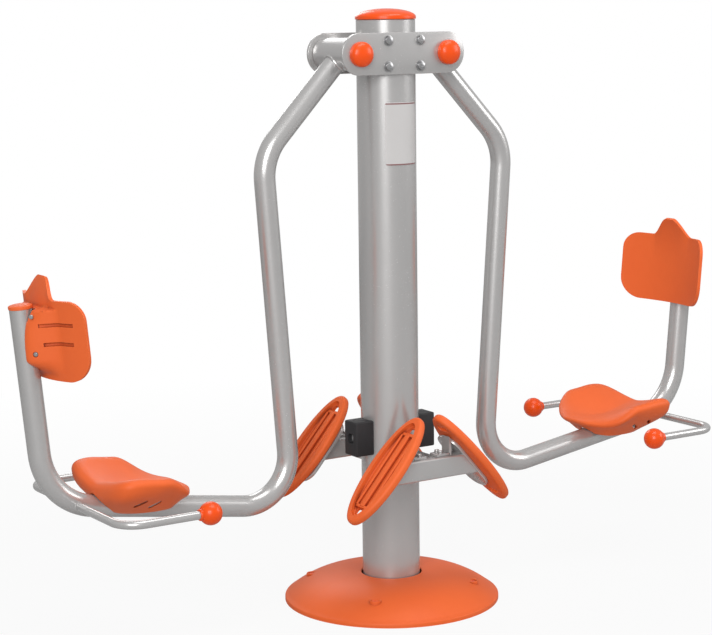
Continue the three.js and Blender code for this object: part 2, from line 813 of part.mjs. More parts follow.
// Moves a piece drawn flat round the pedal's centre to where the pedal lies
function onPedal(geometry) {
  geometry.rotateY(pedal.tilt);
  geometry.translate(pedal.out, -pedal.aside, pedal.height);
  return geometry;
}

const bracketTop = -pedal.thickness / 2 - gap;
const bracketUnder = bracketTop - bracket.thickness;

function pedalBar() {
  const half = bar.size / 2;
  const bore = half - bar.wall;
  const reach = pedal.out + pedal.halfLength;
  const beam = block([-reach, -barOuter, bar.top - bar.size], [reach, -barInner, bar.top]);
  const stub = block([-half, -barInner - bar.wall / 2, bar.top - bar.size], [half, 0, bar.top]);
  const beamBore = block([-reach - overrun, -bar.aside - bore, barMiddle - bore],
    [reach + overrun, -bar.aside + bore, barMiddle + bore]);
  const stubBore = block([-bore, -barInner, barMiddle - bore], [bore, overrun, barMiddle + bore]);
  const postRoom = roundBar('z', postRadius + gap, bar.top - bar.size - overrun, bar.top + overrun,
    facets.large);
  const past = pedal.halfLength + overrun;
  const wide = 2 * bar.size;
  const rightEnd = onPedal(block([-past, -wide, bracketUnder - gap], [past, wide, reach]));
  const leftEnd = mirrored(rightEnd, -1, 1);
  return shapeOf(cut(join(beam, stub), beamBore, stubBore, postRoom, rightEnd, leftEnd));
}

function footPedal() {
  const edge = pedal.round;
  const flat = pedal.thickness - 2 * edge;
  const oval = (halfLength, halfWidth, target, clockwise) => {
    target.absellipse(0, 0, halfLength, halfWidth, 0, 4 * quarterTurn, clockwise, 0);
    return target;
  };
  const rimShape = oval(pedal.halfLength - edge, pedal.halfWidth - edge, new THREE.Shape(), false);
  const inside = pedal.rim - edge;
  rimShape.holes.push(oval(pedal.halfLength - inside, pedal.halfWidth - inside, new THREE.Path(), true));
  const rim = new THREE.ExtrudeGeometry(rimShape, {
    depth: flat,
    curveSegments: facets.small,
    bevelEnabled: true,
    bevelSize: edge,
    bevelThickness: edge,
    bevelSegments: 1,
  });
  rim.translate(0, 0, -flat / 2);
  const webReach = pedal.rim / 2;
  const web = new THREE.ExtrudeGeometry(
    oval(pedal.halfLength - webReach, pedal.halfWidth - webReach, new THREE.Shape(), false),
    { depth: pedal.web, curveSegments: facets.small, bevelEnabled: false },
  );
  web.translate(0, 0, -pedal.thickness / 2);
  const rib = block([-pedal.ribReach, -pedal.rib / 2, -pedal.thickness / 2],
    [pedal.ribReach, pedal.rib / 2, pedal.thickness / 2 - edge]);
  const slots = [-1, 1].map((end) => {
    const slot = block([-pedalSlot.width / 2, -pedalSlot.length / 2, -pedal.thickness],
      [pedalSlot.width / 2, pedalSlot.length / 2, pedal.thickness]);
    slot.translate(end * (pedalSlot.reach + pedalSlot.width / 2), 0, 0);
    return slot;
  });
  return onPedal(shapeOf(cut(join(rim, web, rib), ...slots)));
}

function pedalBracket() {
  const halfLength = bracket.length / 2;
  const plate = onPedal(block([-halfLength, pedal.aside - barOuter, bracketUnder],
    [halfLength, pedal.aside - barOuter + bracket.width, bracketTop]));
  const low = bar.top + gap;
  const nearSide = -bar.aside - bracket.strapWidth / 2;
  const farSide = -bar.aside + bracket.strapWidth / 2;
  const strap = solid(block([bracket.strapOut - bracket.strap / 2, nearSide, low],
    [bracket.strapOut + bracket.strap / 2, farSide, low + bracket.length / 2]));
  const above = onPedal(block([-bracket.length, -bracket.length, bracketUnder + bracket.thickness / 2],
    [bracket.length, bracket.length, bracket.length]));
  const tab = block([bracket.strapOut - bracket.tab, nearSide, low],
    [bracket.strapOut, farSide, low + bracket.strap]);
  const boltTop = low + bracket.strap + tabBolt.height;
  const bolt = roundBar('z', tabBolt.across / 2, low + bracket.strap / 2, boltTop, facets.hex);
  bolt.translate(tabBolt.out, -bar.aside, 0);
  return shapeOf(cut(strap, above).add(join(plate, tab, bolt)));
}

// Bumpers

function rubberBumper() {
  const half = bumper.width / 2;
  const outline = new THREE.Shape([
    new THREE.Vector2(0, -half),
    new THREE.Vector2(bumper.reach - bumper.round, -half),
    new THREE.Vector2(bumper.reach, -half + bumper.round),
    new THREE.Vector2(bumper.reach, half - bumper.round),
    new THREE.Vector2(bumper.reach - bumper.round, half),
    new THREE.Vector2(0, half),
  ]);
  const body = new THREE.ExtrudeGeometry(outline, { depth: bumper.height, bevelEnabled: false });
  body.translate(0, 0, bumper.level - bumper.height / 2);
  const low = bumper.level - bumper.height;
  const postRoom = roundBar('z', postRadius + gap, low, low + 2 * bumper.height, facets.large);
  const recessFloor = bumper.reach - bumper.recess;
  const recess = roundBar('x', bumper.recessRadius, recessFloor, bumper.reach + overrun, facets.small);
  const hole = roundBar('x', clear(bumperBolt.diameter / 2, facets.thin), 0, bumper.reach, facets.thin);
  recess.translate(0, 0, bumper.level);
  hole.translate(0, 0, bumper.level);
  return shapeOf(cut(solid(body), postRoom, recess, hole));
}

function rubberBumperBolt() {
  const face = bumper.reach - bumper.recess + gap;
  const geometry = shapeOf(join(
    roundBar('x', bumperBolt.diameter / 2, postRadius - bumperBolt.inside, face + gap, facets.thin),
    roundBar('x', bumperBolt.headRadius, face, face + bumperBolt.headHeight, facets.hex),
  ));
  geometry.translate(0, 0, bumper.level);
  return geometry;
}

// The whole object

function buildFrame() {
  const frame = new THREE.Group();
  frame.add(
    piece('base_flange', baseFlange(), 'silver'),
    piece('post_tube', postTube(), 'silver'),
    piece('base_cover_front', baseCover(-1), 'orange'),
    piece('base_cover_rear', baseCover(1), 'orange'),
    piece('post_cap', postCap(), 'cap'),
    piece('label_plate', labelPlate(), 'label'),
    piece('head_plate_front', headPlate(-1), 'silver'),
    piece('head_plate_rear', headPlate(1), 'silver'),
  );
  studPlaces().forEach((place, index) => {
    frame.add(piece(`anchor_stud_${index + 1}`, anchorStud(place), 'steel'));
  });
  boltPlaces().forEach((place, index) => {
    frame.add(piece(`head_bolt_${index + 1}`, throughBolt(place), 'steel'));
  });

  const sides = [['left', -1], ['right', 1]];
  const faces = [['front', -1], ['rear', 1]];
  for (const [sideName, side] of sides) {
    const axlePiece = piece(`${sideName}_axle`, pivotAxle(), 'steel');
    axlePiece.position.x = side * head.pivot;
    frame.add(
      axlePiece,
      piece(`${sideName}_bumper`, mirrored(rubberBumper(), side, 1), 'rubber'),
      piece(`${sideName}_bumper_bolt`, mirrored(rubberBumperBolt(), side, 1), 'steel'),
    );
    for (const [faceName, face] of faces) {
      const coverPiece = piece(`${sideName}_${faceName}_axle_cap`, nutCap(face), 'cap');
      coverPiece.position.x = side * head.pivot;
      frame.add(
        coverPiece,
        piece(`${sideName}_${faceName}_pedal`, mirrored(footPedal(), side, -face), 'orange'),
        piece(`${sideName}_${faceName}_pedal_bracket`, mirrored(pedalBracket(), side, -face), 'silver'),
      );
    }
  }
  for (const [faceName, face] of faces) {
    frame.add(piece(`${faceName}_pedal_bar`, mirrored(pedalBar(), 1, -face), 'silver'));
  }
  return frame;
}

// One arm on the +X side. The left one is turned half a turn about the post afterwards, so in here its
// front is on the +Y side
function buildArm(name, front) {
  const arm = new THREE.Group();
  arm.add(
    piece(`${name}_arm_hub`, armHub(), 'silver'),
    piece(`${name}_arm_tube`, armTube(), 'silver'),
    piece(`${name}_front_bearing`, armBearing(front), 'steel'),
    piece(`${name}_rear_bearing`, armBearing(-front), 'steel'),
    piece(`${name}_arm_tube_cap`, armTubeCap(), 'orange'),
    piece(`${name}_seat_bracket`, saddleBracket(), 'silver'),
    piece(`${name}_seat`, saddle(), 'orange'),
    piece(`${name}_backrest_bracket`, restBracket(), 'silver'),
    piece(`${name}_backrest`, backrest(), 'orange'),
    piece(`${name}_handle_rail`, handleRail(), 'silver'),
    piece(`${name}_front_ball`, railBall(front), 'cap'),
    piece(`${name}_rear_ball`, railBall(-front), 'cap'),
  );
  return arm;
}

const legPress = new THREE.Group();
const rightArm = buildArm('right', -1);
const leftArm = buildArm('left', 1);
leftArm.rotation.z = 2 * quarterTurn;
legPress.add(buildFrame(), rightArm, leftArm);

export default legPress;
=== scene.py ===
"""Outdoor leg press: the looks of one post, four fixed pedals and two swinging seats.

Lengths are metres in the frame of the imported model: the origin is on the post's axis at the ground,
+X runs to the right seat, -Y is the front and +Z is up.
"""

from __future__ import annotations

import json
import logging
import math
from collections.abc import Callable, Sequence
from dataclasses import dataclass, field
from enum import Enum
from functools import cached_property

import bmesh
import bpy
from bmesh.types import BMEdge, BMVert
from mathutils import Matrix, Vector

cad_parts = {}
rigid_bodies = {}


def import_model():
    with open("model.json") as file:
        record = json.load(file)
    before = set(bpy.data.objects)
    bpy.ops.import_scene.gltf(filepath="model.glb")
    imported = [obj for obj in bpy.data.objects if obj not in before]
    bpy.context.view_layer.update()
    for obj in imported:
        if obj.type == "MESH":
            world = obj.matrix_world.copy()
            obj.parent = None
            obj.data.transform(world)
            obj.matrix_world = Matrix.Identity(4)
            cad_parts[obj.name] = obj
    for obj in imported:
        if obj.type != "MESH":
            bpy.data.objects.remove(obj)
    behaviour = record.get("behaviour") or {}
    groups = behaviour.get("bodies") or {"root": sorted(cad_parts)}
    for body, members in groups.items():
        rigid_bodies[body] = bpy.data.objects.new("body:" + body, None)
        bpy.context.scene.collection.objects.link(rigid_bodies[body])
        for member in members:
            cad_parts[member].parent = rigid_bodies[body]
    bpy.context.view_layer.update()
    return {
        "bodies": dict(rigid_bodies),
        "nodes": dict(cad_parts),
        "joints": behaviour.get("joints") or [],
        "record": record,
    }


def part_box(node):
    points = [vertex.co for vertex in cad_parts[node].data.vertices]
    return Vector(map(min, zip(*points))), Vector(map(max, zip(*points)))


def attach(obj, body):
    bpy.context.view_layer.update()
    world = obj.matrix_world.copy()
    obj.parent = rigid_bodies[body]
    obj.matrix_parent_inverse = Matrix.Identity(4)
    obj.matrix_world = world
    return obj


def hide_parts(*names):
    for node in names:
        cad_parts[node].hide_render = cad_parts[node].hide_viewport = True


LOG = logging.getLogger("leg_press")
TAU = 2 * math.pi
QUARTER = math.pi / 2
UP = Vector((0, 0, 1)).freeze()

# Lengths: between pieces that touch, between points that are one, and of a cutter that goes right through
GAP = 0.0003
MERGE = 1e-6
LONG = 0.2

# The least angles of an edge that counts as a right angle, as the rim of a wall, or as sharp when shaded
SQUARE = 1.2
RIM = 1.0
CREASE = math.radians(32)

Profile = Sequence[tuple[float, float]]
Place = Callable[[float, float], Vector]
Link = bpy.types.NodeSocket
Rgb = tuple[float, float, float]


class Slot(Enum):
    """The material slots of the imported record."""

    SILVER = "silver_paint"
    ORANGE = "orange_plastic"
    CAP = "cap_plastic"
    RUBBER = "rubber"
    STEEL = "steel"
    LABEL = "label"


class Side(Enum):
    """The two seats, by the way that each lies from the post along X."""

    LEFT = -1
    RIGHT = 1

    @property
    def word(self) -> str:
        """The side's name as it stands in node names."""
        return self.name.lower()


class Face(Enum):
    """The front and rear of the object, by the way that each lies from the post along Y."""

    FRONT = -1
    REAR = 1

    @property
    def word(self) -> str:
        """The face's name as it stands in node names."""
        return self.name.lower()


# Node groups and materials


class Tree:
    """A node tree in the making, of a material or of a group."""

    def __init__(self, tree: bpy.types.NodeTree) -> None:
        """Takes over a node tree to add to."""
        self.tree = tree

    def feed(self, socket: Link, value: object) -> None:
        """Links another node's output to a socket, or sets the socket to a value.

        Args:
            socket: The input to feed.
            value: The output or the value.
        """
        if isinstance(value, bpy.types.NodeSocket):
            self.tree.links.new(value, socket)
        else:
            socket.default_value = value

    def add(self, kind: str, settings: dict | None = None, **inputs: object) -> bpy.types.Node:
        """Adds a node.

        Args:
            kind: The node's type without its ShaderNode prefix.
            settings: Attributes of the node.
            inputs: Values or sockets for its inputs, by socket name with _ for a space, or i0, i1 and
                so on by place.

        Returns:
            The new node.
        """
        node = self.tree.nodes.new("ShaderNode" + kind)
        for name, value in (settings or {}).items():
            setattr(node, name, value)
        for name, value in inputs.items():
            key = int(name[1:]) if name[0] == "i" and name[1:].isdigit() else name.replace("_", " ")
            self.feed(node.inputs[key], value)
        return node

    def math(self, operation: str, *values: object) -> Link:
        """Adds a Math node with its inputs in order and returns its output."""
        named = {f"i{place}": value for place, value in enumerate(values)}
        return self.add("Math", {"operation": operation}, **named).outputs[0]

    def span(self, value: Link, low: float, high: float, to_low: float, to_high: float) -> Link:
        """Maps a value from the span of low and high to another one and holds it there."""
        return self.add("MapRange", None, i0=value, i1=low, i2=high, i3=to_low, i4=to_high).outputs[0]

    def mix(self, share: object, first: object, second: object) -> Link:
        """Mixes two colours.

        Args:
            share: How much of the second there is.
            first: The first colour.
            second: The second colour.

        Returns:
            The mixed colour's socket.
        """
        node = self.add("Mix", {"data_type": "RGBA"})
        for socket, value in zip([s for s in node.inputs if s.enabled], (share, first, second)):
            self.feed(socket, value)
        return next(s for s in node.outputs if s.enabled)

    def noise(self, vector: Link, scale: object, detail: float = 3.0, roughness: float = 0.5) -> Link:
        """Adds a noise texture that reads a vector and returns its value."""
        inputs = {"Vector": vector, "Scale": scale, "Detail": detail, "Roughness": roughness}
        return self.add("TexNoise", None, **inputs).outputs[0]


class Effect:
    """A shader node group that several materials use, with float inputs after any vector and one output."""

    name = "effect"
    reads_place = True
    values: dict[str, float] = {}
    out = "Mask"

    def group(self) -> bpy.types.NodeTree:
        """Builds the group on its first use.

        Returns:
            The group.
        """
        made = bpy.data.node_groups.get(self.name)
        if made:
            return made
        made = bpy.data.node_groups.new(self.name, "ShaderNodeTree")
        made.interface.new_socket(self.out, in_out="OUTPUT", socket_type="NodeSocketFloat")
        if self.reads_place:
            made.interface.new_socket("Vector", in_out="INPUT", socket_type="NodeSocketVector")
        for name, value in self.values.items():
            socket = made.interface.new_socket(name, in_out="INPUT", socket_type="NodeSocketFloat")
            socket.default_value = value
        source = made.nodes.new("NodeGroupInput")
        target = made.nodes.new("NodeGroupOutput")
        inputs = [socket for socket in source.outputs if socket.name]
        made.links.new(self.wire(Tree(made), *inputs), target.inputs[self.out])
        return made

    def wire(self, tree: Tree, *inputs: Link) -> Link:
        """Builds the inside of the group from its input sockets and returns what it puts out."""
        raise NotImplementedError

    def place(self, tree: Tree, **inputs: object) -> bpy.types.Node:
        """Puts the group into a material.

        Args:
            tree: The material's tree.
            inputs: Values or sockets for the group's inputs.

        Returns:
            The group node.
        """
        node = tree.tree.nodes.new("ShaderNodeGroup")
        node.node_tree = self.group()
        for name, value in inputs.items():
            tree.feed(node.inputs[name], value)
        return node


class Mottle(Effect):
    """Slow and fast changes of tone over a surface, as a value about one half."""

    name = "mottle"
    values = {"Scale": 6.0, "Contrast": 1.0}
    out = "Tone"
    faster = 9.0
    shares = (0.7, 0.3)
    middle = 0.5

    def wire(self, tree: Tree, vector: Link, scale: Link, contrast: Link) -> Link:
        """Adds up slow and fast noise.

        Args:
            tree: The group's tree.
            vector: Where the noise is read.
            scale: Its scale.
            contrast: How far the tone strays.

        Returns:
            The tone.
        """
        slow = tree.noise(vector, scale, detail=2.0)
        fast = tree.noise(vector, tree.math("MULTIPLY", scale, self.faster), detail=4.0, roughness=0.6)
        slow, fast = (tree.math("MULTIPLY", tone, share) for tone, share in zip((slow, fast), self.shares))
        off = tree.math("SUBTRACT", tree.math("ADD", slow, fast), self.middle)
        return tree.math("ADD", tree.math("MULTIPLY", off, contrast), self.middle)


class Grain(Effect):
    """Fine moulded or sprayed grain, as a height for a bump."""

    name = "grain"
    values = {"Scale": 900.0, "Peel": 0.5}
    out = "Height"
    peel_scale = 0.16

    def wire(self, tree: Tree, vector: Link, scale: Link, peel: Link) -> Link:
        """Adds broad orange peel to fine noise.

        Args:
            tree: The group's tree.
            vector: Where the noise is read.
            scale: Its scale.
            peel: The share of the orange peel.

        Returns:
            The height.
        """
        fine = tree.noise(vector, scale, detail=2.0)
        broad = tree.noise(vector, tree.math("MULTIPLY", scale, self.peel_scale), detail=1.0, roughness=0.4)
        return tree.math("ADD", fine, tree.math("MULTIPLY", broad, peel))


class Scuffs(Effect):
    """Sparse short scratches and specks, as a mask."""

    name = "scuffs"
    values = {"Scale": 20.0, "Amount": 0.3}
    turn = (0.5, 0.9, 0.3)
    stretch = (1.0, 7.0, 3.0)
    line_cut = (0.66, 0.74)
    patch_scale = 0.3
    patch_cut = (0.5, 0.62)
    speck_scale = 22.0
    speck_cut = (0.72, 0.8)
    speck_share = 0.7

    def wire(self, tree: Tree, vector: Link, scale: Link, amount: Link) -> Link:
        """Keeps drawn-out noise in patches, and adds specks.

        Args:
            tree: The group's tree.
            vector: Where the noise is read.
            scale: Its scale.
            amount: What the mask is at most.

        Returns:
            The mask.
        """
        drawn = tree.add("Mapping", None, Vector=vector, Rotation=self.turn, Scale=self.stretch).outputs[0]
        lines = tree.span(tree.noise(drawn, scale, detail=5.0, roughness=0.7), *self.line_cut, 0.0, 1.0)
        wide = tree.noise(vector, tree.math("MULTIPLY", scale, self.patch_scale), detail=2.0)
        patches = tree.span(wide, *self.patch_cut, 0.0, 1.0)
        tiny = tree.noise(vector, tree.math("MULTIPLY", scale, self.speck_scale), detail=1.0)
        specks = tree.span(tiny, *self.speck_cut, 0.0, self.speck_share)
        marks = tree.math("MAXIMUM", tree.math("MULTIPLY", lines, patches), specks)
        return tree.math("MULTIPLY", marks, amount)


class EdgeWear(Effect):
    """Worn corners, as a mask that is broken up by noise."""

    name = "edge_wear"
    values = {"Scale": 60.0, "Amount": 0.5}
    reach = 0.0016
    edge_cut = (0.985, 0.9)
    gap_cut = (0.42, 0.6)
    least = 0.1

    def wire(self, tree: Tree, vector: Link, scale: Link, amount: Link) -> Link:
        """Finds where a rounded normal leaves the true one.

        Args:
            tree: The group's tree.
            vector: Where the noise is read.
            scale: Its scale.
            amount: What the mask is at most.

        Returns:
            The mask.
        """
        rounded = tree.add("Bevel", {"samples": 4}, Radius=self.reach).outputs[0]
        flat = tree.add("NewGeometry").outputs["Normal"]
        facing = tree.add("VectorMath", {"operation": "DOT_PRODUCT"}, i0=rounded, i1=flat).outputs["Value"]
        edge = tree.span(facing, *self.edge_cut, 0.0, 1.0)
        broken = tree.span(tree.noise(vector, scale, detail=4.0, roughness=0.6), *self.gap_cut, self.least, 1.0)
        return tree.math("MULTIPLY", tree.math("MULTIPLY", edge, broken), amount)


class Cavity(Effect):
    """Painted shade in grooves and inner corners, where the surface shades itself, found by ambient occlusion, as
    a mask.
    """

    name = "cavity"
    reads_place = False
    values = {"Reach": 0.012, "Amount": 0.5}
    open_cut = (0.88, 0.42)

    def wire(self, tree: Tree, reach: Link, amount: Link) -> Link:
        """Finds where the surface shades itself."""
        near = tree.add("AmbientOcclusion", {"samples": 6, "only_local": True}, Distance=reach)
        return tree.math("MULTIPLY", tree.span(near.outputs["AO"], *self.open_cut, 0.0, 1.0), amount)


MOTTLE = Mottle()
GRAIN = Grain()
SCUFFS = Scuffs()
EDGE_WEAR = EdgeWear()
PAINTED_CAVITY_SHADE = Cavity()


def opaque(colour: Rgb) -> tuple[float, float, float, float]:
    """Adds full opacity to a colour."""
    return (*colour, 1.0)


@dataclass(frozen=True)
class Finish:
    """A procedural finish: two tones, grain, scuffs, worn edges and painted shade in grooves and corners on one
    Principled shader.
    """

    slot: Slot
    dark: Rgb
    light: Rgb
    worn: Rgb
    roughness: tuple[float, float]
    metallic: float = 0.0
    specular: float = 0.5
    coat: float = 0.0
    coat_roughness: float = 0.2
    tone_scale: float = 7.0
    contrast: float = 1.0
    grain_scale: float = 900.0
    grain_depth: float = 0.00004
    peel: float = 0.5
    scuff: float = 0.25
    wear: float = 0.4
    flake: float = 0.0
    flake_scale: float = 2600.0
    flake_cut: tuple[float, float] = (0.55, 0.8)
    tone_cut: tuple[float, float] = (0.2, 0.8)
    scuff_roughness: float = 0.2
    # The colour and share of the painted shade that darkens grooves and inner corners.
    deep: Rgb = (0.06, 0.06, 0.06)
    cavity: float = 0.35

    def material(self) -> bpy.types.Material:
        """Builds the finish as a material on its first use.

        Returns:
            The material.
        """
        name = self.slot.value + "_finish"
        made = bpy.data.materials.get(name)
        if made:
            return made
        made = bpy.data.materials.new(name)
        made.use_nodes = True
        tree = Tree(made.node_tree)
        shader = made.node_tree.nodes["Principled BSDF"]
        where = tree.add("TexCoord").outputs["Object"]
        tone = MOTTLE.place(tree, Vector=where, Scale=self.tone_scale, Contrast=self.contrast).outputs[0]
        colour = self.printed(tree, where, tree.mix(tone, opaque(self.dark), opaque(self.light)))
        if self.flake:
            sparkle = tree.span(tree.noise(where, self.flake_scale, detail=0.0), *self.flake_cut, 0.0, self.flake)
            colour = tree.mix(sparkle, colour, opaque(self.worn))
        scuff = SCUFFS.place(tree, Vector=where, Amount=self.scuff).outputs[0]
        worn = EDGE_WEAR.place(tree, Vector=where, Amount=self.wear).outputs[0]
        colour = tree.mix(tree.math("MAXIMUM", scuff, worn), colour, opaque(self.worn))
        # Painted shade: grooves and inner corners are darkened towards the shade colour.
        colour = tree.mix(PAINTED_CAVITY_SHADE.place(tree, Amount=self.cavity).outputs[0], colour, opaque(self.deep))
        rough = tree.span(tone, *self.tone_cut, *self.roughness)
        height = GRAIN.place(tree, Vector=where, Scale=self.grain_scale, Peel=self.peel).outputs[0]
        bump = tree.add("Bump", None, Strength=1.0, Distance=self.grain_depth, Height=height).outputs[0]
        rougher = tree.math("ADD", rough, tree.math("MULTIPLY", scuff, self.scuff_roughness))
        for name, value in {
            "Base Color": colour, "Roughness": rougher, "Normal": bump, "Metallic": self.metallic,
            "Specular IOR Level": self.specular, "Coat Weight": self.coat,
            "Coat Roughness": self.coat_roughness,
        }.items():
            tree.feed(shader.inputs[name], value)
        return made

    def printed(self, tree: Tree, where: Link, colour: Link) -> Link:
        """Lays print over the base colour by Object coordinates; a plain finish has none."""
        return colour


@dataclass(frozen=True)
class RuledPlate(Finish):
    """A pale plate with a thin dark red rule near its top and its bottom, and nothing written on it."""

    rules: tuple[float, float] = (1.0665, 1.2085)
    half_rule: float = 0.0016
    ink: Rgb = (0.16, 0.03, 0.03)
    ink_share: float = 0.85

    def printed(self, tree: Tree, where: Link, colour: Link) -> Link:
        """Lays the two rules over the base colour.

        Args:
            tree: The material's tree.
            where: Object coordinates.
            colour: The colour so far.

        Returns:
            The colour with the rules.
        """
        height = tree.add("SeparateXYZ", None, Vector=where).outputs["Z"]
        for level in self.rules:
            off = tree.math("ABSOLUTE", tree.math("SUBTRACT", height, level))
            mask = tree.math("LESS_THAN", off, self.half_rule)
            colour = tree.mix(tree.math("MULTIPLY", mask, self.ink_share), colour, opaque(self.ink))
        return colour


SILVER = Finish(
    Slot.SILVER, dark=(0.46, 0.452, 0.446), light=(0.55, 0.542, 0.536), worn=(0.66, 0.66, 0.66),
    roughness=(0.23, 0.3), metallic=0.62, specular=0.4, coat=0.15, coat_roughness=0.14, tone_scale=3.0,
    contrast=0.5, grain_scale=900.0, grain_depth=0.000012, peel=0.4, scuff=0.08, wear=0.25, flake=0.1,
)
# The orange plastic gets strong painted shade in its grooves and corners.
ORANGE = Finish(
    Slot.ORANGE, dark=(0.67, 0.102, 0.02), light=(0.77, 0.138, 0.031), worn=(0.85, 0.26, 0.11),
    deep=(0.2, 0.012, 0.003), cavity=0.9, roughness=(0.44, 0.56), specular=0.26, tone_scale=5.0,
    contrast=1.0, grain_scale=1100.0, grain_depth=0.00005, peel=0.5, scuff=0.16, wear=0.35,
)
CAP = Finish(
    Slot.CAP, dark=(0.72, 0.058, 0.002), light=(0.81, 0.082, 0.004), worn=(0.95, 0.25, 0.08),
    deep=(0.25, 0.012, 0.002), roughness=(0.26, 0.34), specular=0.28, coat=0.12, coat_roughness=0.08,
    tone_scale=12.0, contrast=0.6, grain_scale=300.0, grain_depth=0.00001, scuff=0.12, wear=0.2,
)
RUBBER = Finish(
    Slot.RUBBER, dark=(0.011, 0.0105, 0.011), light=(0.027, 0.0255, 0.028), worn=(0.09, 0.09, 0.095),
    roughness=(0.5, 0.7), specular=0.35, tone_scale=14.0, contrast=1.2, grain_scale=500.0,
    grain_depth=0.00012, peel=0.3, scuff=0.35, wear=0.5,
)
STEEL = Finish(
    Slot.STEEL, dark=(0.32, 0.32, 0.33), light=(0.48, 0.48, 0.48), worn=(0.75, 0.75, 0.74),
    roughness=(0.25, 0.4), metallic=1.0, tone_scale=30.0, contrast=1.4, grain_scale=1500.0,
    grain_depth=0.00002, scuff=0.4, wear=0.5,
)
LABEL = RuledPlate(
    Slot.LABEL, dark=(0.46, 0.448, 0.443), light=(0.53, 0.517, 0.512), worn=(0.45, 0.43, 0.42),
    roughness=(0.3, 0.4), coat=0.2, tone_scale=10.0, contrast=0.5, grain_scale=1200.0,
    grain_depth=0.00001, scuff=0.15, wear=0.2,
)


# Shapes


class Form:
    """A shape in the making on its own bmesh."""

    def __init__(self) -> None:
        """Starts with an empty mesh."""
        self.mesh = bmesh.new()

    def join(self, *others: Form) -> Form:
        """Takes other forms into this one and frees them.

        Args:
            others: The forms to take in.

        Returns:
            This form.
        """
        for other in others:
            data = bpy.data.meshes.new("part")
            other.mesh.to_mesh(data)
            other.mesh.free()
            self.mesh.from_mesh(data)
            bpy.data.meshes.remove(data)
        return self

    def move(self, matrix: Matrix) -> Form:
        """Moves, turns or mirrors the whole form.

        Args:
            matrix: What it is moved by; a mirroring one turns the faces round as well.

        Returns:
            This form.
        """
        bmesh.ops.transform(self.mesh, matrix=matrix, verts=self.mesh.verts)
        if matrix.determinant() < 0:
            bmesh.ops.reverse_faces(self.mesh, faces=self.mesh.faces)
        return self

    def shift(self, x: float = 0.0, y: float = 0.0, z: float = 0.0) -> Form:
        """Moves the form along the axes."""
        return self.move(Matrix.Translation((x, y, z)))

    def heal(self) -> Form:
        """Merges doubled points and turns every face outwards.

        Returns:
            This form.
        """
        bmesh.ops.remove_doubles(self.mesh, verts=self.mesh.verts, dist=MERGE)
        bmesh.ops.recalc_face_normals(self.mesh, faces=self.mesh.faces)
        return self

    def fill(self) -> Form:
        """Closes every open edge loop with a face.

        Returns:
            This form.
        """
        rim = [edge for edge in self.mesh.edges if edge.is_boundary]
        bmesh.ops.holes_fill(self.mesh, edges=rim, sides=0)
        return self.heal()

    def soften(self, width: float, segments: int = 3, above: float = 0.5,
               chosen: Callable[[BMEdge], bool] | None = None) -> Form:
        """Bevels the sharp edges.

        Args:
            width: How far the bevel reaches from the edge.
            segments: Its number of steps.
            above: The least angle between faces that counts as sharp.
            chosen: A further test of an edge.

        Returns:
            This form.
        """
        edges = [
            edge for edge in self.mesh.edges
            if edge.is_manifold and edge.calc_face_angle(0) > above and (chosen is None or chosen(edge))
        ]
        bmesh.ops.bevel(self.mesh, geom=edges, offset=width, offset_type="OFFSET", segments=segments,
                        profile=0.5, affect="EDGES", material=-1, clamp_overlap=True)
        return self

    def slice(self, point: Sequence[float], normal: Sequence[float]) -> Form:
        """Takes off what lies beyond a plane and closes the cut.

        Args:
            point: A point of the plane.
            normal: The way towards the side that goes.

        Returns:
            This form.
        """
        geometry = [*self.mesh.verts, *self.mesh.edges, *self.mesh.faces]
        bmesh.ops.bisect_plane(self.mesh, geom=geometry, plane_co=point, plane_no=normal, clear_outer=True)
        return self.fill()

    def raised(self, height: float) -> Form:
        """Extrudes a flat form along Z to a slab.

        Args:
            height: The slab's thickness.

        Returns:
            This form.
        """
        made = bmesh.ops.extrude_face_region(self.mesh, geom=list(self.mesh.faces))["geom"]
        bmesh.ops.translate(self.mesh, verts=[item for item in made if isinstance(item, BMVert)], vec=UP * height)
        return self.heal()

    def thicken(self, wall: float, way: Vector | None = None) -> Form:
        """Gives an open sheet a wall behind its faces.

        Args:
            wall: The wall's thickness; a negative one goes to the other side.
            way: Where most of the faces are turned to look first, if they are.

        Returns:
            This form.
        """
        if way and sum(face.normal.dot(way) * face.calc_area() for face in self.mesh.faces) < 0:
            bmesh.ops.reverse_faces(self.mesh, faces=self.mesh.faces)
        bmesh.ops.solidify(self.mesh, geom=self.mesh.faces, thickness=wall)
        return self


def run(edge: BMEdge, axis: int) -> float:
    """How far an edge runs along an axis."""
    start, end = (vert.co[axis] for vert in edge.verts)
    return abs(start - end)


def box(low: Sequence[float], high: Sequence[float], soft: float = 0.0, segments: int = 2) -> Form:
    """Makes a box between two corners.

    Args:
        low: Its lowest corner.
        high: Its highest corner.
        soft: The radius of its edges, or zero for sharp ones.
        segments: The steps of each edge's round.

    Returns:
        The box.
    """
    form = Form()
    low, high = Vector(low), Vector(high)
    size = Matrix.Diagonal((*(high - low), 1))
    bmesh.ops.create_cube(form.mesh, size=1, matrix=Matrix.Translation((low + high) / 2) @ size)
    return form.soften(soft, segments) if soft else form


def turned(profile: Profile, steps: int) -> Form:
    """Turns a profile of radius and height about the Z axis.

    Args:
        profile: Its points in order; the ends may lie on the axis, and else it is closed.
        steps: The steps of a full turn.

    Returns:
        The turned form.
    """
    form = Form()
    points = [form.mesh.verts.new((radius, 0, height)) for radius, height in profile]
    pairs = list(zip(points, points[1:]))
    if profile[0][0] > MERGE or profile[-1][0] > MERGE:
        pairs.append((points[-1], points[0]))
    edges = [form.mesh.edges.new(pair) for pair in pairs]
    bmesh.ops.spin(form.mesh, geom=[*points, *edges], cent=(0, 0, 0), axis=(0, 0, 1), angle=TAU,
                   steps=steps, use_merge=True, use_duplicate=False)
    return form.heal()


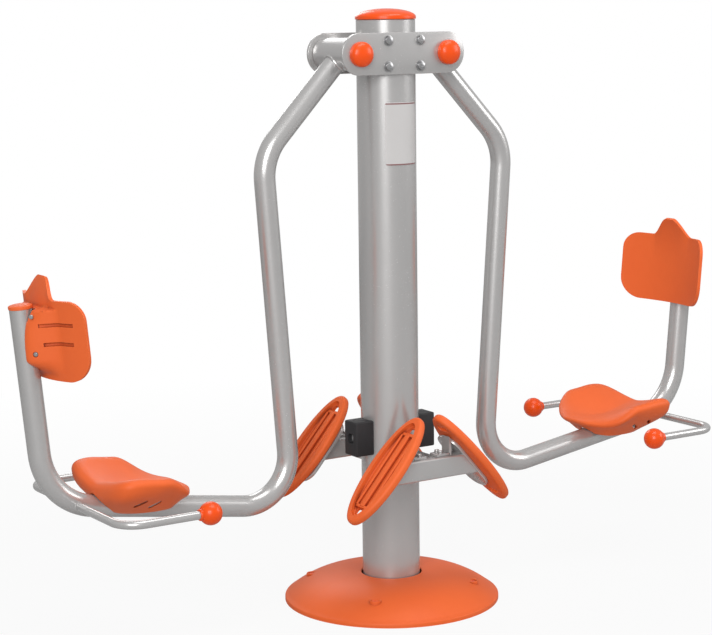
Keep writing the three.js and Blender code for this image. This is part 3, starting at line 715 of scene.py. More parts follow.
def rod(radius: float, start: float, end: float, sides: int = 32, soft: float = 0.0) -> Form:
    """Makes a round or many-sided bar on the Z axis.

    Args:
        radius: Its radius, to the corners.
        start: Its lower end.
        end: Its upper end.
        sides: How many sides it has.
        soft: The bevel of its two end edges.

    Returns:
        The bar.
    """
    form = Form()
    bmesh.ops.create_cone(form.mesh, cap_ends=True, segments=sides, radius1=radius, radius2=radius,
                          depth=end - start, matrix=Matrix.Translation((0, 0, (start + end) / 2)))
    if soft:
        form.soften(soft, 2, chosen=lambda edge: run(edge, 2) < MERGE)
    return form


def dome(radius: float, foot: float, rise: float, steps: int = 10) -> list[tuple[float, float]]:
    """Gives the profile of a flat dome from its rim to the axis.

    Args:
        radius: The rim's radius.
        foot: The rim's height.
        rise: The dome's height over the rim.
        steps: The steps of the curve.

    Returns:
        The profile's points.
    """
    angles = [QUARTER * step / steps for step in range(steps)]
    return [*((radius * math.cos(angle), foot + rise * math.sin(angle)) for angle in angles), (0.0, foot + rise)]


def sheet(across: int, along: int, place: Place) -> Form:
    """Lays a grid over a surface.

    Args:
        across: The number of cells one way.
        along: The number of cells the other way.
        place: Gives the point for two shares from 0 to 1.

    Returns:
        The open surface.
    """
    form = Form()
    bmesh.ops.create_grid(form.mesh, x_segments=across, y_segments=along, size=1)
    for vert in form.mesh.verts:
        vert.co = place((vert.co.x + 1) / 2, (vert.co.y + 1) / 2)
    return form.heal()


@dataclass(frozen=True)
class Corner:
    """A corner of a bent route: where it is before bending and the radius of its bend."""

    x: float
    y: float
    z: float
    radius: float = 0.0


def bent(corners: Sequence[Corner], turn_step: float = math.radians(4)) -> list[tuple[Vector, Vector]]:
    """Runs a route through corners with round bends.

    Args:
        corners: The corners, the ends among them.
        turn_step: The largest turn between two stations.

    Returns:
        The point and direction of each station.
    """
    points = [Vector((corner.x, corner.y, corner.z)) for corner in corners]
    stations = [(points[0], (points[1] - points[0]).normalized())]
    for index in range(1, len(points) - 1):
        before = (points[index] - points[index - 1]).normalized()
        after = (points[index + 1] - points[index]).normalized()
        turn = before.angle(after)
        radius = corners[index].radius
        start = points[index] - before * radius * math.tan(turn / 2)
        side = (after - before * before.dot(after)).normalized()
        steps = max(2, math.ceil(turn / turn_step))
        for step in range(steps + 1):
            angle = turn * step / steps
            point = start + before * radius * math.sin(angle) + side * radius * (1 - math.cos(angle))
            stations.append((point, before * math.cos(angle) + side * math.sin(angle)))
    stations.append((points[-1], (points[-1] - points[-2]).normalized()))
    return stations


def frame_at(point: Vector, along: Vector, aside: Vector) -> Matrix:
    """Gives a frame with Z along a direction.

    Args:
        point: The frame's origin.
        along: The direction.
        aside: Any direction that isn't along it.

    Returns:
        The frame.
    """
    third = along.normalized()
    first = aside.cross(third).normalized()
    turn = Matrix((first, third.cross(first), third)).transposed()
    return Matrix.Translation(point) @ turn.to_4x4()


def swept(frames: Sequence[Matrix], radius: float, sides: int = 32, closed: bool = False) -> Form:
    """Draws a circle along a route.

    Args:
        frames: The route's frames, with Z along it.
        radius: The circle's radius.
        sides: Its number of sides.
        closed: Whether the route comes back to its start.

    Returns:
        The closed tube.
    """
    form = Form()
    bmesh.ops.create_circle(form.mesh, cap_ends=False, segments=sides, radius=radius, matrix=frames[0])
    loop = list(form.mesh.edges)
    for before, after in zip(frames, frames[1:]):
        made = bmesh.ops.extrude_edge_only(form.mesh, edges=loop)["geom"]
        fresh = {item for item in made if isinstance(item, BMVert)}
        loop = [item for item in made if isinstance(item, BMEdge) and set(item.verts) <= fresh]
        bmesh.ops.transform(form.mesh, matrix=after @ before.inverted(), verts=list(fresh))
    return form.heal() if closed else form.fill()


def spline(points: Sequence[Sequence[float]], steps: int, closed: bool) -> list[tuple[float, ...]]:
    """Runs a smooth curve through points.

    Args:
        points: The points, of any dimension.
        steps: The steps from one point to the next.
        closed: Whether the curve comes back to its first point.

    Returns:
        The curve's points.
    """
    count = len(points)
    spans = count if closed else count - 1

    def at(index: int) -> Sequence[float]:
        """The point at an index, past either end as well."""
        return points[index % count] if closed else points[min(max(index, 0), count - 1)]

    curve = []
    for span in range(spans):
        four = [at(span + offset) for offset in (-1, 0, 1, 2)]
        for step in range(steps):
            t = step / steps
            weights = (
                (-t ** 3 + 2 * t ** 2 - t) / 2,
                (3 * t ** 3 - 5 * t ** 2 + 2) / 2,
                (-3 * t ** 3 + 4 * t ** 2 + t) / 2,
                (t ** 3 - t ** 2) / 2,
            )
            curve.append(tuple(sum(w * value for w, value in zip(weights, values)) for values in zip(*four)))
    if not closed:
        curve.append(tuple(points[-1]))
    return curve


def weld_bead(centre: Vector, out: Vector, axis: Vector, branch: float, bar: float, size: float, steps: int,
              sides: int) -> Form:
    """Makes the weld where a round branch leaves a round bar.

    Args:
        centre: Where their axes cross.
        out: The way of the branch.
        axis: The way of the bar, at a right angle to the branch.
        branch: The branch's radius.
        bar: The bar's radius.
        size: The bead's radius.
        steps: The steps round the branch.
        sides: The sides of the bead.

    Returns:
        The bead.
    """
    aside = axis.cross(out)
    route = []
    for step in range(steps + 1):
        angle = TAU * step / steps
        ray = aside * math.cos(angle) + axis * math.sin(angle)
        along = axis * math.cos(angle) - aside * math.sin(angle)
        rise = math.sqrt(bar ** 2 - (branch * math.cos(angle)) ** 2)
        route.append(frame_at(centre + out * rise + ray * branch, along, ray))
    return swept(route, size, sides, closed=True)


def smoothstep(value: float, low: float, high: float) -> float:
    """Rises smoothly from 0 to 1 between two values."""
    share = min(max((value - low) / (high - low), 0.0), 1.0)
    return share * share * (3 - 2 * share)


def corner_drop(past: float, radius: float) -> float:
    """How far a rounded corner has dropped at a distance past the start of its round."""
    return radius - math.sqrt(max(0.0, radius * radius - max(0.0, past) ** 2))


FLIP_TO_Y = Matrix.Rotation(QUARTER, 4, "X")
SIDE_TURN = {Side.RIGHT: Matrix.Identity(4), Side.LEFT: Matrix.Rotation(math.pi, 4, "Z")}


def to_face(face: Face) -> Matrix:
    """Turns the Z axis to point out of the front or the rear."""
    return Matrix.Rotation(-face.value * QUARTER, 4, "X")


def mirror_to(side: Side, face: Face) -> Matrix:
    """Mirrors what lies in front on the right to another side and face."""
    return Matrix.Diagonal((side.value, -face.value, 1, 1))


def hex_bolt(radius: float, height: float, washer: float = 0.0, washer_height: float = 0.0015) -> Form:
    """Makes a bolt head on the Z axis that sits on the plane Z = 0.

    Args:
        radius: The head's radius, to its corners.
        height: Its height with the washer.
        washer: The washer's radius, or zero for none.
        washer_height: The washer's thickness.

    Returns:
        The head with its washer.
    """
    edge, washer_edge, crown_rise, crown_sunk = 0.0009, 0.0004, 0.0008, 0.0006
    crown = radius * 0.62
    head = rod(radius, washer_height if washer else 0.0, height, 6).soften(edge, 2)
    curve = dome(crown, height, crown_rise, 3)[:-1]
    floor = height - crown_sunk
    head.join(turned([(0, height), *reversed(curve), (crown, floor), (0, floor)], 24))
    return head.join(rod(washer, 0, washer_height, 40, washer_edge)) if washer else head


def carve(form: Form, *cutters: Form) -> Form:
    """Cuts other forms out of one.

    Args:
        form: The form to cut.
        cutters: What is cut out of it.

    Returns:
        The cut form.
    """
    body = plain_object(form, "body")
    tool = plain_object(Form().join(*cutters), "tool")
    modifier = body.modifiers.new("cut", "BOOLEAN")
    modifier.operation = "DIFFERENCE"
    modifier.solver = "EXACT"
    modifier.use_self = True
    modifier.object = tool
    graph = bpy.context.evaluated_depsgraph_get()
    result = Form()
    result.mesh.from_object(body, graph)
    for item in (body, tool):
        data = item.data
        bpy.data.objects.remove(item)
        bpy.data.meshes.remove(data)
    bmesh.ops.remove_doubles(result.mesh, verts=result.mesh.verts, dist=MERGE)
    return result


def plain_object(form: Form, name: str) -> bpy.types.Object:
    """Turns a form into an object of the scene and frees the form.

    Args:
        form: The form.
        name: The object's name.

    Returns:
        The object.
    """
    data = bpy.data.meshes.new(name)
    form.mesh.to_mesh(data)
    form.mesh.free()
    item = bpy.data.objects.new(name, data)
    bpy.context.scene.collection.objects.link(item)
    return item


def piece(name: str, form: Form, finish: Finish, body: str, replaced: Sequence[str] = ()) -> None:
    """Finishes a form as a piece that rides on a body.

    Args:
        name: The piece's name.
        form: Its shape.
        finish: Its finish.
        body: The body that it moves with.
        replaced: The CAD nodes that it stands for.
    """
    item = plain_object(form, name)
    item.data.materials.append(finish.material())
    item.data.polygons.foreach_set("use_smooth", [True] * len(item.data.polygons))
    item.data.set_sharp_from_angle(angle=CREASE)
    item.data.update()
    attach(item, body)
    if replaced:
        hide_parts(*replaced)
    LOG.info("%s: %d faces on %s", name, len(item.data.polygons), body)


# Sub-assemblies


@dataclass
class Foot:
    """The orange cover on the ground, in two halves with a screw boss at each quarter."""

    radius: float = 0.262
    hole: float = 0.074
    hole_edge: float = 0.0015
    rim: float = 0.008
    rise: float = 0.065
    bulge: float = 2.8
    wall: float = 0.004
    lip: float = 0.004
    lip_taper: float = 0.0004
    boss_circle: float = 0.200
    boss_radius: float = 0.0145
    boss_proud: float = 0.0025
    boss_ring: float = 0.0032
    boss_sunk: float = 0.003
    boss_root: float = 0.012
    boss_round: float = 0.001
    boss_edge: float = 0.0006
    boss_draft: float = 0.0008
    screw: Profile = (
        (0, 0.0004), (0.0026, 0.0004), (0.003, 0.0016), (0.0062, 0.0014), (0.0078, 0.0002), (0.0078, -0.001),
        (0, -0.001),
    )

    def level(self, radius: float) -> float:
        """Height of the cover's outside at a radius."""
        share = (radius - self.hole) / (self.radius - self.hole)
        return self.rim + (self.rise - self.rim) * (1 - share ** self.bulge)

    def half(self, face: Face) -> Form:
        """Makes one half of the cover.

        Args:
            face: Which half it is.

        Returns:
            The half with its two bosses.
        """
        slope_steps, lip_steps = 24, 4
        start = self.radius - self.lip
        radii = [self.hole + (start - self.hole) * step / slope_steps for step in range(slope_steps + 1)]
        top = [(radius, self.level(radius)) for radius in radii]
        lip = []
        for step in range(1, lip_steps + 1):
            angle = QUARTER * step / lip_steps
            drop = self.lip - self.lip * math.cos(angle) + self.lip_taper * step / lip_steps
            lip.append((start + self.lip * math.sin(angle), self.level(start) - drop))
        neck = [(self.hole, self.rise - self.hole_edge), (self.hole + self.hole_edge, self.rise)]
        under = [(radius, level - self.wall) for radius, level in reversed(top)]
        ground = [(self.radius, 0.0), (self.radius - self.wall, 0.0)]
        shell = turned([*neck, *top[1:], *lip, *ground, *under], 144)
        for place in self.boss_places():
            if place.y * face.value > 0:
                shell.join(self.boss().shift(place.x, place.y))
        return shell.slice((0, face.value * GAP / 2, 0), (0, -face.value, 0))

    def boss(self) -> Form:
        """Makes one screw boss on the Z axis, with a sunk top.

        Returns:
            The boss.
        """
        level = self.level(self.boss_circle)
        top = level + self.boss_proud
        floor = top - self.boss_sunk
        root = level - self.boss_root
        inner = self.boss_radius - self.boss_ring
        return turned([
            (0, floor), (inner - self.boss_draft, floor), (inner, top - self.boss_edge),
            (inner + self.boss_edge, top),
            (self.boss_radius - self.boss_round, top), (self.boss_radius, top - self.boss_round),
            (self.boss_radius + self.boss_edge, root), (0, root),
        ], 48)

    def boss_places(self) -> list[Vector]:
        """Gives where the four bosses stand."""
        aside = self.boss_circle * math.sqrt(0.5)
        return [Vector((x * aside, y * aside, 0)) for x, y in ((-1, -1), (1, -1), (1, 1), (-1, 1))]

    def build(self) -> None:
        """Makes both halves and the four screws."""
        for face in Face:
            piece(f"cover_half_{face.word}", self.half(face), ORANGE, "frame", [f"base_cover_{face.word}"])
        floor = self.level(self.boss_circle) + self.boss_proud - self.boss_sunk
        for number, place in enumerate(self.boss_places(), 1):
            piece(f"cover_screw_{number}", turned(self.screw, 32).shift(place.x, place.y, floor), CAP, "frame")


@dataclass
class Post:
    """The round post with its cap and the plain plate on its front."""

    radius: float = 0.070
    bottom: float = 0.0123
    top: float = 1.404
    chamfer: float = 0.0015
    cap_rim: float = 0.005
    cap_rise: float = 0.020
    cap_overhang: float = 0.002
    cap_edge: float = 0.0008
    plug_inset: float = 0.0045
    plug_depth: float = 0.02
    plate_bottom: float = 1.065
    plate_height: float = 0.147
    plate_thickness: float = 0.0008
    plate_span: float = math.radians(73)
    plate_corner: float = 0.006

    def on_plate(self, across: float, up: float) -> Vector:
        """Places a point of the plate's outside, with its corners rounded.

        Args:
            across: The share of the plate's span from its left edge.
            up: The share of its height.

        Returns:
            The point.
        """
        outer = self.radius + GAP + self.plate_thickness
        half = self.plate_height / 2
        angle = (across - 0.5) * self.plate_span
        past = abs(angle) * outer - (self.plate_span * outer / 2 - self.plate_corner)
        reach = half - corner_drop(past, self.plate_corner)
        level = self.plate_bottom + half + reach * (2 * up - 1)
        return Vector((math.sin(angle) * outer, -math.cos(angle) * outer, level))

    def build(self) -> None:
        """Makes the tube, the cap and the plate."""
        tube = turned([(0, self.bottom), (self.radius, self.bottom), (self.radius, self.top - self.chamfer),
                       (self.radius - self.chamfer, self.top), (0, self.top)], 128)
        piece("post_pipe", tube, SILVER, "frame", ["post_tube"])

        rim = self.radius + self.cap_overhang
        plug = self.radius - self.plug_inset
        low = self.top + GAP
        cap = turned([
            (0, low - self.plug_depth), (plug, low - self.plug_depth), (plug, low), (rim - self.cap_edge, low),
            (rim, low + self.cap_edge), *dome(rim, low + self.cap_rim, self.cap_rise, 24),
        ], 128)
        piece("post_lid", cap, CAP, "frame", ["post_cap"])

        plate = sheet(60, 8, self.on_plate).thicken(self.plate_thickness - GAP / 2, Vector((0, -1, 0)))
        piece("front_plate", plate, LABEL, "frame", ["label_plate"])


@dataclass
class Head:
    """The two plates on the post's top, with their bolts and the caps over the axle nuts."""

    half_height: float = 0.0485
    level: float = 1.3254
    thickness: float = 0.008
    edge: float = 0.0012
    pivot: float = 0.1228
    near: float = 0.0703
    bolt_aside: float = 0.045
    bolt_up: float = 0.030
    bolt_radius: float = 0.010
    washer_radius: float = 0.0125
    head_height: float = 0.0075
    nut_height: float = 0.007
    thread_radius: float = 0.006
    thread_height: float = 0.010
    thread_edge: float = 0.0006
    cap_radius: float = 0.029
    cap_wall: float = 0.0025
    cap_roof: float = 0.002
    cap_edge: float = 0.0006
    cap_shoulder: float = 0.001
    cap_skirt: float = 0.009
    cap_dome: float = 0.017

    def onto(self, form: Form, face: Face, lift: float) -> Form:
        """Turns a form on the Z axis to stand out of a face at the head's level."""
        return form.shift(z=lift).move(to_face(face)).shift(z=self.level)

    def plate(self, face: Face) -> Form:
        """Makes one plate: a bar with full round ends.

        Args:
            face: Which plate it is.

        Returns:
            The plate.
        """
        form = Form()
        sides = 96
        bmesh.ops.create_circle(form.mesh, cap_ends=True, segments=sides, radius=self.half_height,
                                matrix=Matrix.Rotation(TAU / sides / 2, 4, "Z"))
        for side in Side:
            end = [vert for vert in form.mesh.verts if vert.co.x * side.value > 0]
            bmesh.ops.translate(form.mesh, verts=end, vec=(side.value * self.pivot, 0, 0))
        return self.onto(form.raised(self.thickness).soften(self.edge, 3), face, self.near)

    def bolt(self) -> Form:
        """Makes one bolt with its head in front and its nut behind.

        Returns:
            The bolt, at the post's middle.
        """
        far = self.near + self.thickness + GAP
        head = hex_bolt(self.bolt_radius, self.head_height, self.washer_radius)
        nut = hex_bolt(self.bolt_radius, self.nut_height, self.washer_radius)
        nut.join(rod(self.thread_radius, 0, self.thread_height, 24, self.thread_edge))
        return self.onto(head, Face.FRONT, far).join(self.onto(nut, Face.REAR, far))

    def axle_cap(self, face: Face) -> Form:
        """Makes the domed cap over one axle nut.

        Args:
            face: Which plate it sits on.

        Returns:
            The cap, at the post's middle.
        """
        inner = self.cap_radius - self.cap_wall
        form = turned([
            (0, self.cap_skirt), (inner, self.cap_skirt - self.cap_roof), (inner, 0),
            (self.cap_radius - self.cap_edge, 0), (self.cap_radius, self.cap_edge),
            (self.cap_radius, self.cap_skirt - self.cap_shoulder),
            *dome(self.cap_radius, self.cap_skirt, self.cap_dome, 16),
        ], 72)
        return self.onto(form, face, self.near + self.thickness + GAP)

    def build(self) -> None:
        """Makes the plates, bolts and caps."""
        for face in Face:
            piece(f"hanger_plate_{face.word}", self.plate(face), SILVER, "frame", [f"head_plate_{face.word}"])
            for side in Side:
                where = f"{side.word}_{face.word}"
                cap = self.axle_cap(face).shift(x=side.value * self.pivot)
                piece(f"{where}_nut_cap", cap, CAP, "frame", [f"{where}_axle_cap"])
        for number, (x, z) in enumerate(((-1, 1), (1, 1), (-1, -1), (1, -1)), 1):
            bolt = self.bolt().shift(x=x * self.bolt_aside, z=z * self.bolt_up)
            piece(f"hanger_bolt_{number}", bolt, STEEL, "frame", [f"head_bolt_{number}"])


@dataclass(frozen=True)
class Rib:
    """A rib on a pedal's web: its place across the pedal, its width and its top."""

    y: float
    width: float
    top: float


@dataclass
class PedalFrame:
    """The square bars on the post, with a tilted pedal on a bracket at each of their ends."""

    bar: float = 0.050
    bar_aside: float = 0.162
    bar_top: float = 0.379
    bar_corner: float = 0.005
    stub_near: float = 0.055
    stub_sunk: float = 0.002
    out: float = 0.1227
    aside: float = 0.165
    height: float = 0.363
    tilt: float = math.radians(48.7)
    half_length: float = 0.149
    half_width: float = 0.062
    thickness: float = 0.020
    edge_round: float = 0.0075
    rim: float = 0.019
    dish_over: float = 0.004
    dish_round: float = 0.003
    web: float = 0.008
    ribs: tuple[Rib, ...] = (Rib(0.0, 0.016, 0.0052), Rib(0.0245, 0.007, 0.0035), Rib(-0.0245, 0.007, 0.0035))
    rib_root: float = 0.002
    rib_round: float = 0.0022
    rib_short: float = 0.001
    bridge_half_width: float = 0.004
    bridge_half_length: float = 0.024
    bridge_top: float = 0.0035
    bridge_round: float = 0.002
    slot_reach: float = 0.107
    slot_margin: float = 0.006
    slot_width: float = 0.014
    slot_length: float = 0.034
    slot_top: float = 0.0045
    slot_through: float = 0.03
    slot_round: float = 0.004
    plate_length: float = 0.176
    plate_width: float = 0.080
    plate_round: float = 0.036
    plate_edge: float = 0.0012
    plate_thickness: float = 0.008
    strap: float = 0.006
    strap_width: float = 0.030
    strap_out: float = 0.053
    tab: float = 0.038
    tab_edge: float = 0.001
    tab_bolt_out: float = 0.030
    tab_bolt_aside: float = 0.0075
    tab_bolt_radius: float = 0.00612
    tab_washer: float = 0.007225
    tab_bolt_height: float = 0.007

    @property
    def onto(self) -> Matrix:
        """Moves a piece drawn flat round the pedal's middle to where the pedal lies."""
        return Matrix.Translation((self.out, -self.aside, self.height)) @ Matrix.Rotation(self.tilt, 4, "Y")

    @property
    def plate_top(self) -> float:
        """The bracket plate's upper face, from the pedal's middle."""
        return -self.thickness / 2 - GAP

    @property
    def up(self) -> Vector:
        """The way that the pedal faces."""
        return self.onto.to_3x3() @ UP

    def oval(self, inset: float, low: float, high: float) -> Form:
        """Makes an oval slab inside the pedal's outline.

        Args:
            inset: How far its edge lies inside the outline.
            low: Its lower face.
            high: Its upper face.

        Returns:
            The slab.
        """
        form = Form()
        scale = Matrix.Diagonal((self.half_length - inset, self.half_width - inset, 1, 1))
        bmesh.ops.create_circle(form.mesh, cap_ends=True, segments=96, radius=1,
                                matrix=Matrix.Translation((0, 0, low)) @ scale)
        return form.raised(high - low)

    def pedal(self) -> Form:
        """Makes the pedal flat round the origin: a thick rim, a ribbed web and a slot at each end.

        Returns:
            The pedal.
        """
        half = self.thickness / 2
        web = self.web - half
        root = web - self.rib_root
        dish = self.oval(self.rim, web, half + self.dish_over).soften(self.dish_round, 3)
        tread = carve(self.oval(0, -half, half).soften(self.edge_round, 5), dish)
        near_slot = self.slot_reach - self.slot_margin
        for rib in self.ribs:
            share = math.sqrt(1 - (rib.y / (self.half_width - self.rim)) ** 2)
            reach = (self.half_length - self.rim) * share - self.rib_short
            reach = reach - self.slot_margin if rib.y else min(reach, near_slot)
            tread.join(box((-reach, rib.y - rib.width / 2, root), (reach, rib.y + rib.width / 2, rib.top),
                           self.rib_round, 3))
        slots = []
        for end in (-1, 1):
            bridge = box((-self.bridge_half_width, -self.bridge_half_length, root),
                         (self.bridge_half_width, self.bridge_half_length, self.bridge_top), self.bridge_round, 3)
            tread.join(bridge.shift(x=end * near_slot))
            slot = box((-self.slot_width / 2, -self.slot_length / 2, -self.slot_through),
                       (self.slot_width / 2, self.slot_length / 2, self.slot_top), self.slot_round, 3)
            slots.append(slot.shift(x=end * (self.slot_reach + self.slot_width / 2)))
        return carve(tread, *slots)

    def bracket(self) -> Form:
        """Makes the steel bracket: a plate under the pedal, a strap down to the bar and a bolted foot.

        Returns:
            The bracket, in front on the right.
        """
        under = self.plate_top - self.plate_thickness
        near = self.aside - self.bar_aside - self.bar / 2
        plate = box((-self.plate_length / 2, near, under),
                    (self.plate_length / 2, near + self.plate_width, self.plate_top))
        plate.soften(self.plate_round, 8, chosen=lambda edge: run(edge, 2) > MERGE)
        plate.soften(self.plate_edge, 2, above=SQUARE).move(self.onto)

        low = self.bar_top + GAP
        left, right = -self.bar_aside - self.strap_width / 2, -self.bar_aside + self.strap_width / 2
        strap = box((self.strap_out - self.strap / 2, left, low),
                    (self.strap_out + self.strap / 2, right, low + self.plate_length / 2))
        strap.slice(self.onto @ Vector((0, 0, under + self.plate_thickness / 2)), self.up)
        tab = box((self.strap_out - self.tab, left, low), (self.strap_out, right, low + self.strap), self.tab_edge)
        plate.join(strap, tab)
        for y in (-1, 1):
            bolt = hex_bolt(self.tab_bolt_radius, self.tab_bolt_height, self.tab_washer)
            plate.join(bolt.shift(self.tab_bolt_out, y * self.tab_bolt_aside - self.bar_aside, low + self.strap))
        return plate

    def square_bar(self) -> Form:
        """Makes the front bar: a square tube cut to the slope of its pedals, on a stub from the post.

        Returns:
            The bar.
        """
        half = self.bar / 2
        reach = self.out + self.half_length
        low = self.bar_top - self.bar
        beam = box((-reach, -self.bar_aside - half, low), (reach, -self.bar_aside + half, self.bar_top))
        beam.soften(self.bar_corner, 4, chosen=lambda edge: run(edge, 0) > half)
        point = self.onto @ Vector((0, 0, self.plate_top - self.plate_thickness - GAP))
        for side in Side:
            flip = Vector((side.value, 1, 1))
            beam.slice(point * flip, self.up * flip)
        stub = box((-half, -self.bar_aside + half - self.stub_sunk, low), (half, -self.stub_near, self.bar_top))
        stub.soften(self.bar_corner, 4, chosen=lambda edge: run(edge, 1) > half)
        return beam.join(stub)

    def build(self) -> None:
        """Makes both bars, and the bracket and pedal at each of their ends."""
        for face in Face:
            bar = self.square_bar().move(mirror_to(Side.RIGHT, face))
            piece(f"{face.word}_square_bar", bar, SILVER, "frame", [f"{face.word}_pedal_bar"])
            for side in Side:
                where, spot = f"{side.word}_{face.word}", mirror_to(side, face)
                bracket, tread = self.bracket().move(spot), self.pedal().move(self.onto).move(spot)
                piece(f"{where}_pedal_plate", bracket, SILVER, "frame", [f"{where}_pedal_bracket"])
                piece(f"{where}_tread", tread, ORANGE, "frame", [f"{where}_pedal"])


@dataclass
class Bumper:
    """The rubber block that stops an arm, with the bolt sunk in its outer face."""

    side: Side
    reach: float = 0.114
    inner: float = 0.05
    near: float = 0.0703
    half_width: float = 0.027
    half_height: float = 0.042
    edge: float = 0.004
    level: float = 0.410
    recess: float = 0.014
    recess_half: float = 0.0118
    recess_round: float = 0.005
    past: float = 0.01
    head_radius: float = 0.009
    head_height: float = 0.007
    shank_radius: float = 0.005
    shank_sunk: float = 0.012
    shank_into: float = 0.001

    def block(self) -> Form:
        """Makes the block, hollowed to the post and with a square recess.

        Returns:
            The block.
        """
        block = box((self.inner, -self.half_width, -self.half_height),
                    (self.reach, self.half_width, self.half_height), self.edge, 3)
        well = box((self.reach - self.recess, -self.recess_half, -self.recess_half),
                   (self.reach + 2 * self.past, self.recess_half, self.recess_half), self.recess_round, 3)
        room = rod(self.near, -self.half_height - self.past, self.half_height + self.past, 128)
        return carve(block, room, well)

    def bolt(self) -> Form:
        """Makes the bolt in the recess.

        Returns:
            The bolt.
        """
        base = self.reach - self.recess + GAP
        bolt = hex_bolt(self.head_radius, self.head_height).shift(z=base)
        bolt.join(rod(self.shank_radius, self.near - self.shank_sunk, base + self.shank_into, 24))
        return bolt.move(Matrix.Rotation(QUARTER, 4, "Y"))

    def build(self) -> None:
        """Makes the block and the bolt."""
        for name, form, finish, node in (("rubber_block", self.block(), RUBBER, "bumper"),
                                         ("block_bolt", self.bolt(), STEEL, "bumper_bolt")):
            piece(f"{self.side.word}_{name}", form.shift(z=self.level).move(SIDE_TURN[self.side]), finish, "frame",
                  [f"{self.side.word}_{node}"])


@dataclass
class SwingArm:
    """The arm of one swinging seat: a bent tube on a hub, with a plug in its end."""

    side: Side
    pivot: float = 0.1228
    pivot_level: float = 1.3254
    hub_radius: float = 0.038
    hub_half: float = 0.0683
    hub_wall: float = 0.0115
    hub_edge: float = 0.0015
    tube_radius: float = 0.025
    tube_sunk: float = 0.012
    knee: Corner = Corner(0.3414, 0, 1.0973, 0.130)
    heel: Corner = Corner(0.2806, 0, 0.2682, 0.108)
    back: Corner = Corner(0.9081, 0, 0.3637, 0.150)
    tip: Corner = Corner(0.9488, 0, 0.804)
    weld: float = 0.0035
    plug_overhang: float = 0.0015
    plug_inset: float = 0.0035
    plug_depth: float = 0.01
    plug_edge: float = 0.0006
    plug_skirt: float = 0.0055
    plug_foot: float = 0.006
    plug_rise: float = 0.004

    @property
    def body(self) -> str:
        """The body that the arm's pieces ride on."""
        return f"{self.side.word}_arm"

    @property
    def slope(self) -> float:
        """The slope of the tube's run under the seat."""
        return math.atan2(self.back.z - self.heel.z, self.back.x - self.heel.x)

    @property
    def lean(self) -> float:
        """How far the tube's last run leans back."""
        return math.atan2(self.tip.x - self.back.x, self.tip.z - self.back.z)

    def put(self, name: str, form: Form, finish: Finish, *nodes: str) -> None:
        """Turns a form modelled on the right to this arm's side and makes it a piece.

        Args:
            name: The piece's name after the side.
            form: Its shape.
            finish: Its finish.
            nodes: The CAD nodes it stands for, after the side.
        """
        piece(f"{self.side.word}_{name}", form.move(SIDE_TURN[self.side]), finish, self.body,
              [f"{self.side.word}_{node}" for node in nodes])

    def build_hub(self) -> None:
        """Makes the hub that turns on the axle."""
        radius, inner, half, edge = self.hub_radius, self.hub_radius - self.hub_wall, self.hub_half, self.hub_edge
        hub = turned([(inner, -half), (radius - edge, -half), (radius, -half + edge), (radius, half - edge),
                      (radius - edge, half), (inner, half)], 72)
        self.put("hub_sleeve", hub.move(FLIP_TO_Y).shift(self.pivot, 0, self.pivot_level), SILVER, "arm_hub")

    def build_tube(self) -> None:
        """Makes the bent tube with its weld, and the plug in the tube's end."""
        start = Vector((self.pivot, 0, self.pivot_level))
        down = (Vector((self.knee.x, 0, self.knee.z)) - start).normalized()
        begin = start + down * (self.hub_radius - self.tube_sunk)
        across = Vector((0, 1, 0))
        route = bent([Corner(*begin), self.knee, self.heel, self.back, self.tip])
        tube = swept([frame_at(point, along, across) for point, along in route], self.tube_radius, 48)
        tube.join(weld_bead(start, down, across, self.tube_radius, self.hub_radius, self.weld, 72, 10))
        self.put("bent_tube", tube, SILVER, "arm_tube")

        rim, inner = self.tube_radius + self.plug_overhang, self.tube_radius - self.plug_inset
        plug = turned([(0, -self.plug_depth), (inner, -self.plug_depth), (inner, GAP), (rim - self.plug_edge, GAP),
                       (rim, GAP + self.plug_edge), (rim, self.plug_skirt),
                       *dome(rim, self.plug_foot, self.plug_rise, 10)], 48)
        onto = Matrix.Translation((self.tip.x, 0, self.tip.z)) @ Matrix.Rotation(self.lean, 4, "Y")
        self.put("tube_plug", plug.move(onto), ORANGE, "arm_tube_cap")

    def build(self) -> None:
        """Makes the arm and all that it carries."""
        self.build_hub()
        self.build_tube()
        for carried in (HandleRail(self), Saddle(self), Backrest(self)):
            carried.build()


@dataclass
class Carried:
    """A sub-assembly that an arm carries."""

    arm: SwingArm

    @property
    def side(self) -> Side:
        """The side of the post that its arm is on."""
        return self.arm.side


